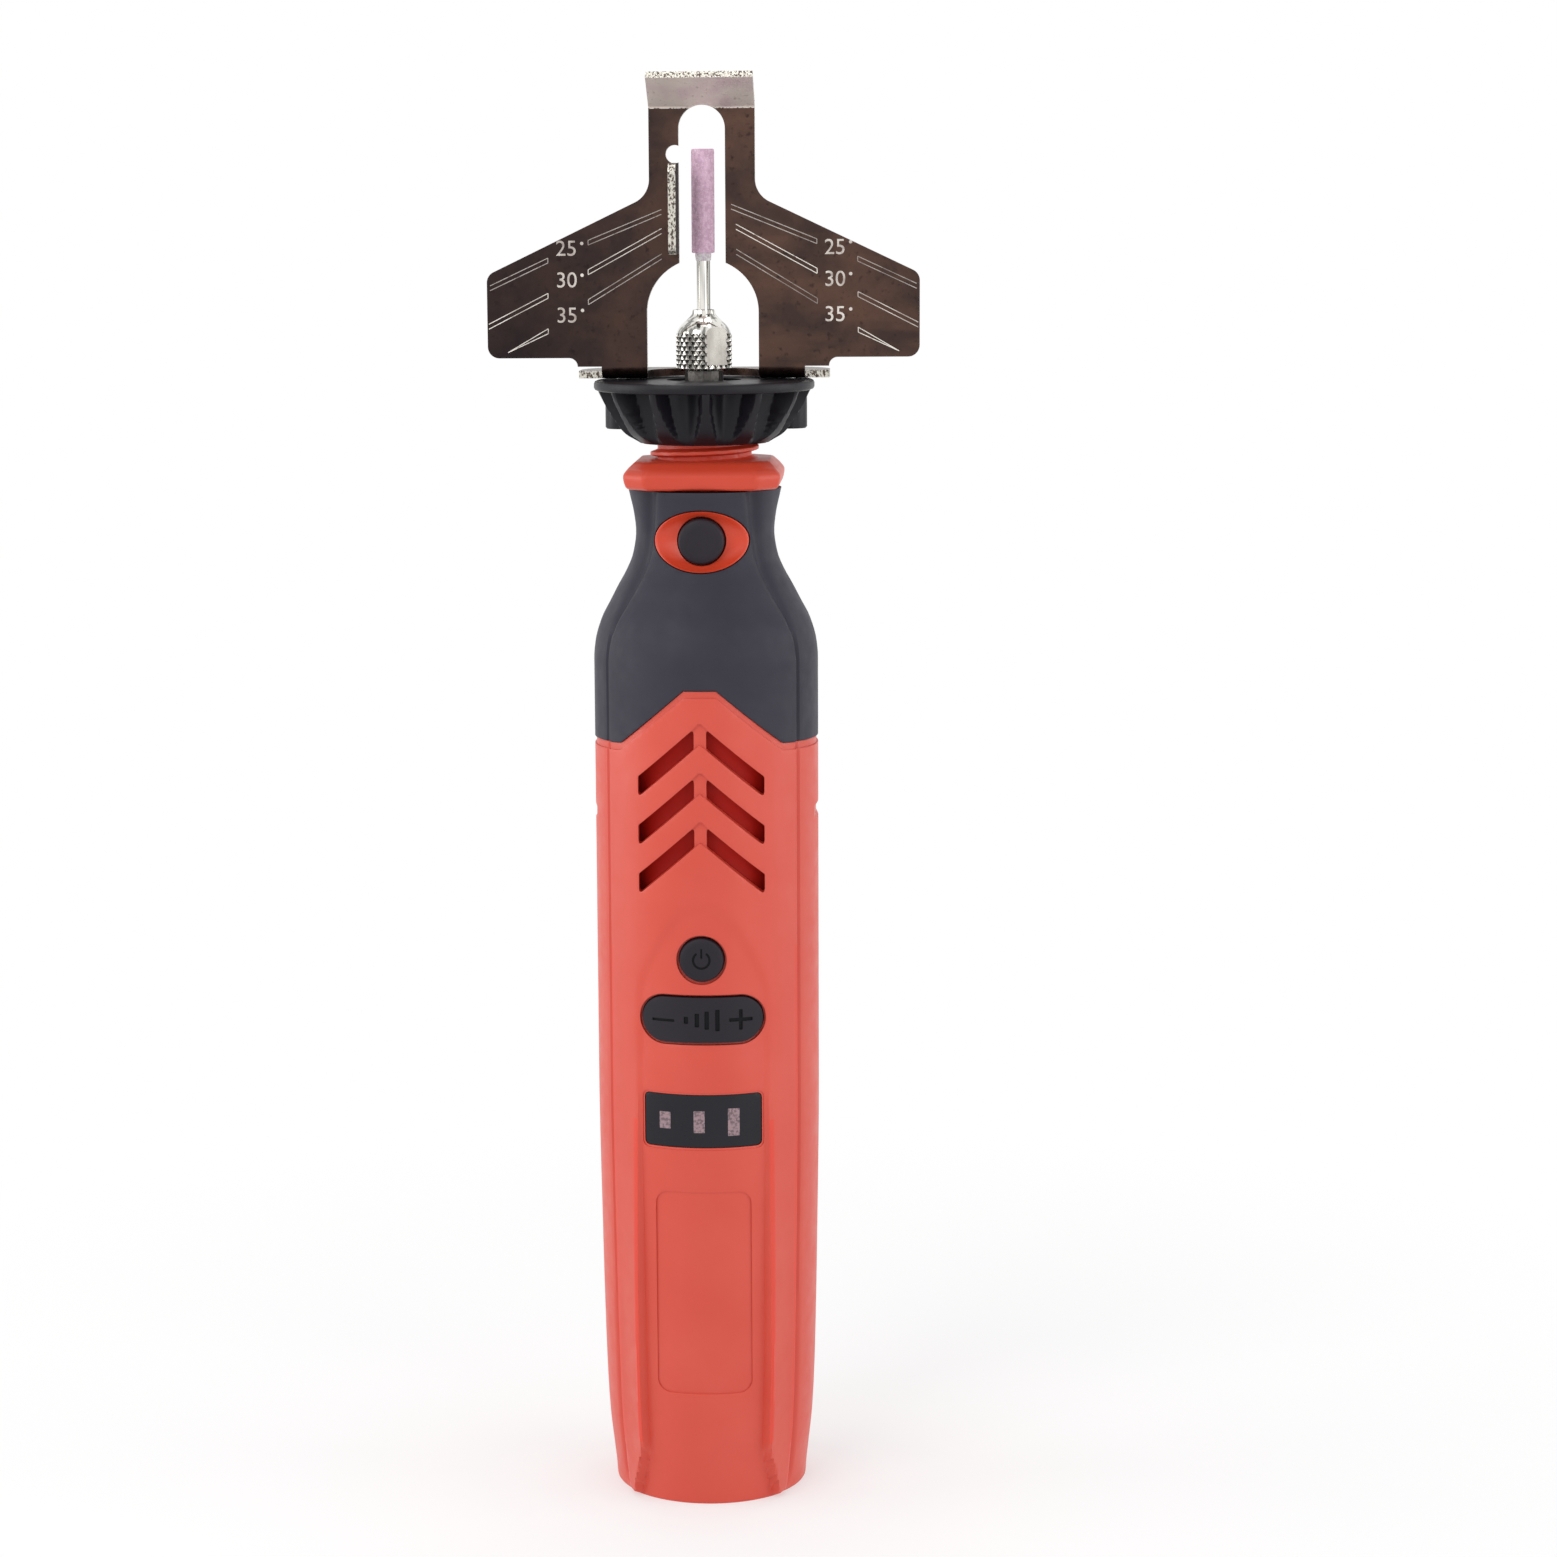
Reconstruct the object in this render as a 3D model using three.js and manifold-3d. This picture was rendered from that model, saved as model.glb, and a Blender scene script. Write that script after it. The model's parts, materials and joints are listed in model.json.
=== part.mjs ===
// Cordless chainsaw sharpener: a hand-held grinder with a collet spindle and a bent angle guide.
// Millimetres. +Z runs along the tool from its flat foot to the guide, -Y is the front with the
// buttons, +X is to the right. The origin is the middle of the foot.
import * as THREE from 'three';
import { mergeVertices } from 'three/addons/utils/BufferGeometryUtils.js';
import Module from 'manifold-3d';

const wasm = await Module();
wasm.setup();
const { Manifold, Mesh: SolidMesh } = wasm;

// Driving sizes of the body
const barrelHeight = 149.4;
const shoulderHeight = 22.1;
const neckHeight = 7.5;
const bodyRadius = 19.65;
const neckRadius = 12.07;
const gripTopRadius = 13.35;
const footInset = 3.65;
const wall = 2;
const neckWall = 1.6;
const rubber = 1.5;

// Clearances
const seatGap = 0.3;
const fitGap = 0.2;
const seamGap = 0.3;
const overrun = 3;
const facetTolerance = 0.03;

// Form of the body, bottom to top: shares of each stretch's height and of its change of radius
const barrelShares = [
  [0, 0], [0.006, 0.27], [0.018, 0.48], [0.04, 0.59],
  [0.152, 0.767], [0.3, 0.9], [0.5, 1], [1, 1],
];
const shoulderShares = [
  [0.127, 0.967], [0.317, 0.809], [0.575, 0.42], [0.7, 0.215], [0.828, 0.07], [1, 0],
];
const neckShares = [[0.427, 0.26], [0.8, 0.73], [1, 1]];

// The front panel stands proud between two creases, given in degrees round from the front
const creaseStep = 0.35;
const creaseWidthDegrees = 1.3;
const barrelCreases = [50, 53, 55, 57, 57, 57, 57, 57];
const shoulderCreases = [56.6, 54, 47.5, 45.5, 44.5, 43];
const neckCreases = [40, 37, 35];
const panelShares = [0, 0.27, 0.53, 0.6, 0.67, 1];
const backDegrees = [72, 90, 108, 126, 144, 162];

// Two rails grow out of the panel towards the foot
const railPanelShare = 0.6;
const railHeight = 0.9;
const railShares = [0.35, 0.75, 1, 1, 0.95, 0.65, 0, 0];

// Edge between the rubber grip and the red shell
const gripEdgeDrop = 14.5;
const chevronLowRise = 1.2;
const chevronRise = 9.7;
const chevronHalfWidth = 14;
const chevronPeakHalfWidth = 2.8;
const beadOffset = 1.35;
const beadWidth = 0.45;
const beadDepth = 0.3;

// Vents: rows of two slanted slots
const ventRows = 3;
const ventPitch = 8.5;
const ventBelowPeak = 6.55;
const ventInnerX = 1;
const ventOuterX = 10.9;
const ventSlotHeight = 3.6;
const ventDrop = 8.7;
const ventRecess = 0.55;

// Notches in the seam at the sides, to prise the shells apart
const pryNotchDrop = 16.45;
const pryNotchHalfHeight = 1.15;
const pryNotchHalfDepth = 1.6;
const pryNotchDepth = 0.6;

// Spindle lock on the neck
const lockBelowNeck = 0.9;
const lockButtonRadius = 4.05;
const lockTravel = 1.6;
const lockSink = 0.15;
const lockRoof = 1.6;
const lockBlindDepth = 0.55;
const lockSkirt = 1.15;
const lockEdge = 0.4;
const bezelHalfWidth = 8.1;
const bezelHalfHeight = 5.2;
const bezelRim = 0.9;
const bezelDish = 0.9;
const bezelProud = 0.25;
const pinRadius = 1.25;
const pinGap = 0.4;
const clipRadius = 1.9;
const clipThickness = 0.4;
const clipInset = 0.45;
const springRadius = 2.2;
const springWire = 0.35;
const springTurns = 4;

// Front controls
const ventsToPower = 7.05;
const powerButtonRadius = 4;
const powerTravel = 0.5;
const powerProud = 0.1;
const powerTabHalf = 5.2;
const powerTabHalfHeight = 3;
const powerTabThickness = 0.6;
const buttonEdge = 0.35;
const buttonGap = 0.4;
const powerToRocker = 2.5;
const rockerHalfLength = 10.6;
const rockerHalfHeight = 4.1;
const rockerProud = 0.2;
const rockerThickness = 2.6;
const rockerGap = 0.4;
const rockerPinRadius = 0.75;
const lugHalf = 1.8;
const lugThickness = 1.6;
const webBehindPin = 1.2;
const rockerToWindow = 9.25;
const windowHalfWidth = 10.1;
const windowHalfHeight = 4.65;
const windowCorner = 0.8;
const windowRecess = 0.25;
const windowThickness = 1.4;
const windowToLabel = 8.05;
const labelAboveFoot = 20.8;
const labelHalfWidth = 8.35;
const labelCorner = 2.3;
const labelDepth = 0.3;

// Threaded nose and its collar
const collarHeight = 4.8;
const collarFootHalf = 12.9;
const collarHalf = 13.95;
const collarTopHalf = 11.3;
const collarChamfer = 3.7;
const collarWideShare = 0.45;
const threadRootRadius = 8.2;
const threadLength = 11.6;
const noseEdge = 0.6;
const spigotDepth = 25.8;

// Guide cup
const cupGap = 2.8;
const cupHeight = 10.8;
const cupRimRadius = 19.15;
const cupRimThickness = 1.75;
const cupRimEdge = 0.3;
const cupBoreRadius = 9.8;
const cupHoleRadius = 6.5;
const cupRibs = 12;
const cupRibTurnDegrees = 4.3;
const cupBossX = 14.6;
const cupBossY = 5;
const cupBossRadius = 3.1;
const cupBossDrop = 6.9;

// Flutes of the cup, bottom to top: shares of the height, and of the rim's radius
const cupHeightShares = [0, 0.08, 0.25, 0.6, 1];
const cupRibShares = [0.585, 0.66, 0.755, 0.87, 0.966];
const cupFluteShares = [0.575, 0.61, 0.627, 0.645, 0.66];
const cupRibHalfDegrees = [12, 9.5, 6.2, 3.2, 1.8];
const cupFlankDegrees = 2.2;
const cupFlankShare = 0.25;

// Guide plate, bent from sheet
const sheet = 1.3;
const plateFrontY = 2.6;
const bendRadius = 2.1;
const wingHalfWidth = 37.35;
const wingFootRise = 2.3;
const wingSideHeight = 14.25;
const wingSlopeDegrees = 25.5;
const wingCorner = 2;
const footHalfWidth = 21.75;
const footFillet = 1.5;
const bendHalfWidth = 17.6;
const plateNeckHalfWidth = 9.1;
const plateNeckFillet = 4.3;
const lipCreaseRise = 44.9;
const lipLength = 8.2;
const lipBendDegrees = 55;
const slotHalfWidth = 4;
const slotAboveCrease = 0.35;
const bottleHalfWidth = 9.65;
const bottleArchHeight = 9.2;
const bottleArchRise = 10.1;
const flangeDepth = 14;
const flangeCorner = 9.5;
const notchRadius = 9.85;
const tabTopRise = 35.4;
const tabLength = 15.4;
const tabReach = 8;
const tabCorner = 1.6;
const reliefRadius = 1.55;
const guideScrewHeadRadius = 2.6;
const guideScrewCrownRadius = 1.8;
const guideScrewHeadHeight = 1.5;
const guideScrewRadius = 1.25;
const guideScrewLength = 6.6;

// Spindle, bearings and collet
const spindleRadius = 3;
const spindleFoot = 1.7;
const spindleCollarHalf = 4;
const spindleFlangeRadius = 4.4;
const spindleNoseRadius = 3.4;
const spindleBelowNut = 4.4;
const spindleBore = 1.5;
const spindleBoreDepth = 24.6;
const crossHoleRadius = 1.55;
const bearingRadius = 6.5;
const bearingWidth = 5;
const bearingStep = 0.5;
const bearingInset = 2;
const raceWall = 1.35;
const frontBearingDrop = 7.8;
const couplingRadius = 3.9;
const colletRadius = 1.8;
const colletHeadRadius = 2.75;
const colletTipRadius = 1.7;
const colletLength = 14.6;
const colletBelowNut = 2.2;
const colletFoot = 2.9;
const colletConeHeight = 2.3;
const colletSlot = 0.5;
const nutRadius = 4.875;
const nutHeight = 10.5;
const nutRoofHeight = 1.4;
const nutAboveCup = 1.6;
const nutFootRadius = 4.4;
const nutFootEdge = 0.4;
const nutHole = 1.5;
const nutFlatHalf = 4.5;
const nutFlatDegrees = 42;
const nutFlatRise = 0.8;
const knurlDepth = 0.32;
const knurlTop = 6.3;
const knurlDiamonds = 16;
const knurlRows = 5;
const nutDomeShares = [[0.63, 0.945], [0.69, 0.89], [0.78, 0.72], [0.88, 0.5], [0.94, 0.4], [1, 0.38]];

// Stone on its shank
const shankRadius = 1.175;
const shankBelowNutTop = 16;
const stoneRadius = 2;
const stoneLength = 17.7;
const stoneAboveNut = 9.65;
const stoneBore = 10;
const cementLength = 1.3;
const cementRadius = 1.4;
const thinGap = 0.05;

// Motor
const motorInset = 5.85;
const motorAbovePower = 6.6;
const endBellHeight = 2.2;
const motorWall = 1;
const motorBossGap = 3;
const motorBossHeight = 1.8;
const motorShaftRadius = 1.15;
const motorScrewRadius = 1.2;
const motorScrewInset = 3.2;
const motorScrewHeadRadius = 2.1;
const motorScrewHeadHeight = 1.4;
const motorScrewLength = 4;
const bulkheadThickness = 1.6;
const bulkheadLand = 1.4;
const magnetThickness = 1.6;
const magnetHalfDegrees = 62;
const rotorGap = 0.7;
const rotorPoles = 5;
const rotorBelowTop = 7.1;
const commutatorRadius = 3;
const commutatorLength = 4;
const fanInset = 1.8;
const fanHeight = 3.6;
const fanGap = 0.9;
const fanBelowBoss = 0.7;
const fanDisc = 0.8;
const fanBlades = 8;
const fanBlade = 0.8;

// One pole of the rotor: share of a pole's turn, share of the rotor's radius
const poleShares = [
  [-0.4, 1], [-0.15, 1], [0.15, 1], [0.4, 1],
  [0.4, 0.84], [0.32, 0.8], [0.34, 0.45], [0.66, 0.45], [0.68, 0.8], [0.6, 0.84],
];

// Battery, circuit board and what is on it
const cellInset = 10.45;
const cellBelowMotor = 26.9;
const cellNubRadius = 2.75;
const cellNubHeight = 0.8;
const cellBackGap = 2.05;
const holderWall = 1.4;
const holderOpening = 4;
const boardThickness = 1.6;
const boardBehindWall = 5.8;
const boardBelowMotor = 1.6;
const boardPostRadius = 1.6;
const switchHalf = 2.25;
const switchBody = 1.9;
const plungerRadius = 1.1;
const plungerHeight = 0.6;
const rockerSwitchX = 6.2;
const lightHalf = 0.9;
const lightX = 5.9;
const lightDepth = 0.8;
const socketHalfWidth = 4.5;
const socketDepth = 3.2;
const socketLength = 7.4;
const socketWall = 0.35;
const socketTongue = 0.7;
const socketRecess = 0.4;
const motorLeadRadius = 0.7;
const batteryLeadRadius = 0.6;

// Screws that hold the shells together
const caseScrewRadius = 1.3;
const caseScrewHeadRadius = 2.4;
const caseScrewCrownRadius = 1.7;
const caseScrewHeadHeight = 1.6;
const caseScrewInset = 6.65;
const topScrewInset = 8.05;
const bottomScrewHeight = 7.5;
const middleScrewDrop = 8.5;
const topScrewDrop = 0.5;
const bossRadius = 2.4;
const bossBehindBoard = 1.8;
const gussetThickness = 1.6;
const screwSeatY = 8.5;
const screwReach = 5;

// Places worked out from the sizes
const far = bodyRadius + overrun;
const gripEdgeHeight = barrelHeight - gripEdgeDrop;
const chevronLowHeight = gripEdgeHeight + chevronLowRise;
const chevronPeakHeight = chevronLowHeight + chevronRise;
const ventTopHeight = chevronPeakHeight - ventBelowPeak;
const ventsBottom = ventTopHeight - ventPitch * (ventRows - 1) - ventDrop - ventSlotHeight;
const pryNotchHeight = ventTopHeight - pryNotchDrop;
const powerHeight = ventsBottom - ventsToPower - powerButtonRadius;
const rockerHeight = powerHeight - powerButtonRadius - powerToRocker - rockerHalfHeight;
const windowHeight = rockerHeight - rockerHalfHeight - rockerToWindow - windowHalfHeight;
const labelTop = windowHeight - windowHalfHeight - windowToLabel;
const labelHeight = (labelTop + labelAboveFoot) / 2;
const labelHalfHeight = (labelTop - labelAboveFoot) / 2;
const topScrewHeight = barrelHeight - topScrewDrop;
const neckTop = barrelHeight + shoulderHeight;
const lockHeight = neckTop - lockBelowNeck;
const gripTop = neckTop + neckHeight;
const footRadius = bodyRadius - footInset;
const panelRadius = bodyRadius + creaseStep;
const hollowRadius = bodyRadius - wall;
const coreInset = rubber + seatGap + neckWall;
const neckBore = neckRadius - coreInset;
const spigotRadius = neckBore - seatGap;
const collarBottom = gripTop + seatGap;
const collarTop = collarBottom + collarHeight;
const noseTop = collarTop + threadLength;
const spigotBottom = collarBottom - spigotDepth;
const cupBottom = collarTop + cupGap;
const cupTop = cupBottom + cupHeight;
const cupCeiling = cupTop - cupRimThickness;
const flangeBottom = cupTop + seatGap;
const flangeTop = flangeBottom + sheet;
const plateBackY = plateFrontY - sheet;
const lipCrease = flangeTop + lipCreaseRise;
const nutBottom = cupTop + nutAboveCup;
const nutTop = nutBottom + nutHeight;
const stoneBottom = nutTop + stoneAboveNut;
const fanTop = topScrewHeight - bossRadius - fanBelowBoss;
const fanBottom = fanTop - fanHeight;
const bulkheadTop = fanBottom - fanGap - motorScrewHeadHeight;
const bulkheadBottom = bulkheadTop - bulkheadThickness;
const motorTop = bulkheadBottom - seatGap;
const motorBottom = powerHeight + motorAbovePower;
const motorRadius = bodyRadius - motorInset;
const motorScrewCircle = motorRadius - motorScrewInset;
const bulkheadHole = motorScrewCircle - motorScrewRadius - bulkheadLand;
const motorBossRadius = bulkheadHole - motorBossGap;
const rotorRadius = motorRadius - motorWall - seatGap - magnetThickness - rotorGap;
const fanRadius = motorRadius - fanInset;
const rotorBottom = motorBottom + endBellHeight * 2 + commutatorLength;
const rotorLength = motorTop - rotorBelowTop - rotorBottom;
const middleScrewHeight = motorBottom - middleScrewDrop;
const caseScrewX = bodyRadius - caseScrewInset;
const topScrewX = bodyRadius - topScrewInset;
const spindleBottom = spigotBottom - spindleFoot;
const rearBearingBottom = spigotBottom + bearingInset;
const frontBearingBottom = noseTop - frontBearingDrop;
const bearingSeat = bearingRadius + fitGap;
const spigotBore = bearingSeat - bearingStep;
const clipFront = spigotBore - clipInset;
const spindleCollarRadius = clipFront - clipThickness - lockTravel - fitGap;
const couplingBottom = fanTop + seatGap * 2;
const couplingTop = rearBearingBottom - bearingStep;
const spindleTop = nutTop - spindleBelowNut;
const colletTip = nutTop - colletBelowNut;
const colletBottom = colletTip - colletLength;
const shankBottom = nutTop - shankBelowNutTop;
const boardFront = panelRadius - wall - boardBehindWall;
const boardBottom = wall + seatGap;
const boardTop = motorBottom - boardBelowMotor;
const switchTop = boardFront + seatGap + switchBody + plungerHeight;
const rockerPinY = switchTop + rockerPinRadius;
const socketFrontY = -boardFront + boardThickness + seatGap;
const cellRadius = bodyRadius - cellInset;
const holderRadius = cellRadius + fitGap + holderWall;
const cellCentreY = hollowRadius - holderRadius - cellBackGap;
const cellBottom = bottomScrewHeight + bossRadius + seatGap * 2 + holderWall;
const holderTop = motorBottom - cellBelowMotor;
const cellLength = holderTop - holderWall - seatGap - cellBottom;

// Colours as the photograph shows them
function paint(color, roughness, metalness = 0) {
  return new THREE.MeshStandardMaterial({ color, roughness, metalness });
}
const redPlastic = () => paint(0xd75a4e, 0.45);
const orangePlastic = () => paint(0xe15037, 0.4);
const rubberGrey = () => paint(0x48484e, 0.8);
const blackPlastic = () => paint(0x26242c, 0.5);
const buttonPlastic = () => paint(0x303034, 0.6);
const darkSheet = () => paint(0x3c2d2a, 0.3, 0.9);
const nickel = () => paint(0xd8d4cc, 0.15, 1);
const steel = () => paint(0xa8a9ad, 0.3, 1);
const pinkStone = () => paint(0xc89bb9, 0.9);
const boardGreen = () => paint(0x1f5a3c, 0.5);
const copper = () => paint(0xb06a3a, 0.35, 0.8);
const lightGlass = () => paint(0xf0d8d8, 0.3);
const cellSleeve = () => paint(0x3a6f9a, 0.4);
const redWire = () => paint(0xb02020, 0.5);
const blackWire = () => paint(0x151515, 0.5);

// A solid from a closed geometry, with shared corners merged and empty triangles left out
function solid(geometry) {
  const bare = geometry.clone();
  bare.deleteAttribute('normal');
  bare.deleteAttribute('uv');
  const merged = mergeVertices(bare, 1e-4);
  const index = merged.index.array;
  const kept = [];
  for (let i = 0; i < index.length; i += 3) {
    const [a, b, c] = [index[i], index[i + 1], index[i + 2]];
    if (a !== b && b !== c && a !== c) kept.push(a, b, c);
  }
  const vertProperties = new Float32Array(merged.attributes.position.array);
  const triVerts = new Uint32Array(kept);
  return new Manifold(new SolidMesh({ numProp: 3, vertProperties, triVerts }));
}

function geometryOf(body) {
  const { vertProperties, triVerts } = body.asOriginal().simplify(facetTolerance).getMesh();
  const geometry = new THREE.BufferGeometry();
  geometry.setAttribute('position', new THREE.BufferAttribute(new Float32Array(vertProperties), 3));
  geometry.setIndex(new THREE.BufferAttribute(new Uint32Array(triVerts), 1));
  geometry.computeVertexNormals();
  return geometry;
}

function join(...bodies) {
  return bodies.reduce((whole, next) => whole.add(next));
}

function cut(base, ...tools) {
  return tools.reduce((left, tool) => left.subtract(tool), base);
}

function common(a, b) {
  return a.intersect(b);
}

const radians = THREE.MathUtils.degToRad;
const mix = (from, to, share) => from + (to - from) * share;
const sides = [-1, 1];
const sideName = (side) => (side < 0 ? 'left' : 'right');

// A box between two corners
function block(x0, x1, y0, y1, z0, z1) {
  const geometry = new THREE.BoxGeometry(x1 - x0, y1 - y0, z1 - z0);
  return solid(geometry.translate((x0 + x1) / 2, (y0 + y1) / 2, (z0 + z1) / 2));
}

// A profile of [radius, height] points turned about Z; it closes on itself or on the axis
function turnedGeometry(profile, segments) {
  let area = 0;
  profile.forEach(([r, h], i) => {
    const [nextR, nextH] = profile[(i + 1) % profile.length];
    area += r * nextH - nextR * h;
  });
  const ordered = area > 0 ? profile : [...profile].reverse();
  const count = ordered.length;
  const open = ordered.findIndex(([r], i) => r === 0 && ordered[(i + count - 1) % count][0] === 0);
  const start = Math.max(open, 0);
  const points = [...ordered.slice(start), ...ordered.slice(0, start)];
  if (open < 0) points.push(points[0]);
  const outline = points.map(([r, h]) => new THREE.Vector2(r, h));
  return new THREE.LatheGeometry(outline, segments).rotateX(Math.PI / 2);
}

function turned(profile, segments = 24) {
  return solid(turnedGeometry(profile, segments));
}

// The same about a line along Z through (x, y)
function turnedAt(profile, x, y, segments = 24) {
  return solid(turnedGeometry(profile, segments).translate(x, y, 0));
}

// The same about a line along Y through (x, z); heights run towards the front
function turnedFront(profile, x, z, segments = 24) {
  return solid(turnedGeometry(profile, segments).rotateX(Math.PI / 2).translate(x, 0, z));
}

const rodProfile = (radius, from, to) => [[0, from], [radius, from], [radius, to], [0, to]];
const tubeProfile = (inner, outer, from, to) => [
  [inner, from], [outer, from], [outer, to], [inner, to],
];

function shapeOf(points) {
  return new THREE.Shape(points.map(([x, y]) => new THREE.Vector2(x, y)));
}

// An outline in X and Z made into a prism from frontY back to backY
function frontPrism(shape, frontY, backY, curveSegments = 6) {
  const options = { depth: backY - frontY, bevelEnabled: false, curveSegments };
  const geometry = new THREE.ExtrudeGeometry(shape, options);
  return solid(geometry.rotateX(Math.PI / 2).translate(0, backY, 0));
}

// An outline in X and Y made into a prism from bottom to top
function topPrism(shape, bottom, top, curveSegments = 6) {
  const options = { depth: top - bottom, bevelEnabled: false, curveSegments };
  return solid(new THREE.ExtrudeGeometry(shape, options).translate(0, 0, bottom));
}

// An outline in Y and Z made into a prism from x0 to x1
function sidePrism(shape, x0, x1, curveSegments = 4) {
  const options = { depth: x1 - x0, bevelEnabled: false, curveSegments };
  const toSide = new THREE.Matrix4().makeBasis(
    new THREE.Vector3(0, 1, 0), new THREE.Vector3(0, 0, 1), new THREE.Vector3(1, 0, 0),
  );
  const geometry = new THREE.ExtrudeGeometry(shape, options).applyMatrix4(toSide);
  return solid(geometry.translate(x0, 0, 0));
}

function roundedRectangle(halfWidth, halfHeight, corner, centreY) {
  const shape = new THREE.Shape();
  const [l, r, b, t] = [-halfWidth, halfWidth, centreY - halfHeight, centreY + halfHeight];
  shape.moveTo(l + corner, b);
  shape.lineTo(r - corner, b);
  shape.absarc(r - corner, b + corner, corner, -Math.PI / 2, 0, false);
  shape.lineTo(r, t - corner);
  shape.absarc(r - corner, t - corner, corner, 0, Math.PI / 2, false);
  shape.lineTo(l + corner, t);
  shape.absarc(l + corner, t - corner, corner, Math.PI / 2, Math.PI, false);
  shape.lineTo(l, b + corner);
  shape.absarc(l + corner, b + corner, corner, Math.PI, Math.PI * 1.5, false);
  return shape;
}

function ellipse(halfWidth, halfHeight, centreY) {
  const shape = new THREE.Shape();
  shape.absellipse(0, centreY, halfWidth, halfHeight, 0, Math.PI * 2, false, 0);
  return shape;
}

// A skin over rings of equal point count, closed by a fan at each end
function loft(rings) {
  const count = rings[0].length;
  const positions = rings.flat();
  const middle = (ring) => [0, 1, 2].map((axis) => ring.reduce((sum, p) => sum + p[axis], 0) / count);
  const index = [];
  for (let k = 0; k + 1 < rings.length; k += 1) {
    for (let j = 0; j < count; j += 1) {
      const [a, b] = [k * count + j, k * count + ((j + 1) % count)];
      index.push(a, b, b + count, a, b + count, a + count);
    }
  }
  const topStart = positions.length - count;
  positions.push(middle(rings[0]), middle(rings[rings.length - 1]));
  const [bottomMiddle, topMiddle] = [positions.length - 2, positions.length - 1];
  for (let j = 0; j < count; j += 1) {
    const next = (j + 1) % count;
    index.push(bottomMiddle, next, j, topMiddle, topStart + j, topStart + next);
  }
  const geometry = new THREE.BufferGeometry();
  geometry.setAttribute('position', new THREE.Float32BufferAttribute(positions.flat(), 3));
  geometry.setIndex(index);
  return solid(geometry);
}

// A round tube along a path of [x, y, z] points
function lead(points, radius) {
  const path = new THREE.CatmullRomCurve3(points.map((p) => new THREE.Vector3(...p)));
  const section = new THREE.Shape();
  section.absarc(0, 0, radius, 0, Math.PI * 2, false);
  const options = { steps: 6, bevelEnabled: false, extrudePath: path, curveSegments: 3 };
  return solid(new THREE.ExtrudeGeometry(section, options));
}

// Rings of the body, bottom to top: height, radius, crease angle and rail height
function stretch(shares, bottom, height, narrow, wide, creases, rails) {
  return shares.map(([up, grow], i) => ({
    z: bottom + up * height,
    radius: mix(narrow, wide, grow),
    crease: creases[i],
    rail: rails[i] ? rails[i] * railHeight : 0,
  }));
}

const stations = [
  ...stretch(barrelShares, 0, barrelHeight, footRadius, bodyRadius, barrelCreases, railShares),
  ...stretch(shoulderShares, barrelHeight, shoulderHeight, neckRadius, bodyRadius, shoulderCreases, []),
  ...stretch(neckShares, neckTop, neckHeight, neckRadius, gripTopRadius, neckCreases, []),
];

// A ring at any height; above the top one it carries the last stretch on
function stationAt(z) {
  const found = stations.findIndex((station) => station.z >= z);
  const above = found < 0 ? stations.length - 1 : Math.max(found, 1);
  const [a, b] = [stations[above - 1], stations[above]];
  const share = (z - a.z) / (b.z - a.z);
  return {
    z,
    radius: mix(a.radius, b.radius, share),
    crease: mix(a.crease, b.crease, share),
    rail: Math.max(0, mix(a.rail, b.rail, share)),
  };
}

// The board is as wide as the foot's wall lets its front corners be
const boardCorner = stationAt(boardBottom).radius - wall - seatGap;
const boardHalfWidth = Math.sqrt(boardCorner ** 2 - boardFront ** 2);

function bodyRing({ z, radius, crease, rail }, inset) {
  const r = radius - inset;
  const half = panelShares.map((share) => [
    share * crease, r + creaseStep + (share === railPanelShare ? rail : 0),
  ]);
  half.push([crease + creaseWidthDegrees, r]);
  backDegrees.forEach((degrees) => half.push([degrees, r]));
  const right = half.map(([degrees, reach]) => [
    reach * Math.sin(radians(degrees)), -reach * Math.cos(radians(degrees)), z,
  ]);
  const left = right.slice(1).reverse().map(([x, y]) => [-x, y, z]);
  return [...right, [0, r, z], ...left];
}

// The body's outer form, drawn in by inset, between two heights
function bodyForm(inset, bottom = 0, top = gripTop) {
  const inside = stations.filter(({ z }) => z > bottom && z < top);
  return loft([stationAt(bottom), ...inside, stationAt(top)].map((ring) => bodyRing(ring, inset)));
}

// Every other ring, enough for faces that are hidden under the rubber
const hiddenStations = stations.filter((_, i) => i % 2 === 1);

// The body's form without its creases and rails
function roundForm(inset, bottom, top) {
  const inside = hiddenStations.filter(({ z }) => z > bottom && z < top);
  const outline = [stationAt(bottom), ...inside, stationAt(top)].map(({ z, radius }) => [radius - inset, z]);
  return turned([[0, bottom], ...outline, [0, top]], 20);
}

// Everything above the chevron edge of the grip, lowered by drop
function chevronRegion(drop) {
  const edge = [
    [-far, gripEdgeHeight],
    [-chevronHalfWidth, chevronLowHeight],
    [-chevronPeakHalfWidth, chevronPeakHeight],
    [chevronPeakHalfWidth, chevronPeakHeight],
    [chevronHalfWidth, chevronLowHeight],
    [far, gripEdgeHeight],
  ].map(([x, z]) => [x, z - drop]);
  return frontPrism(shapeOf([...edge, [far, gripTop + overrun], [-far, gripTop + overrun]]), -far, far);
}

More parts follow.
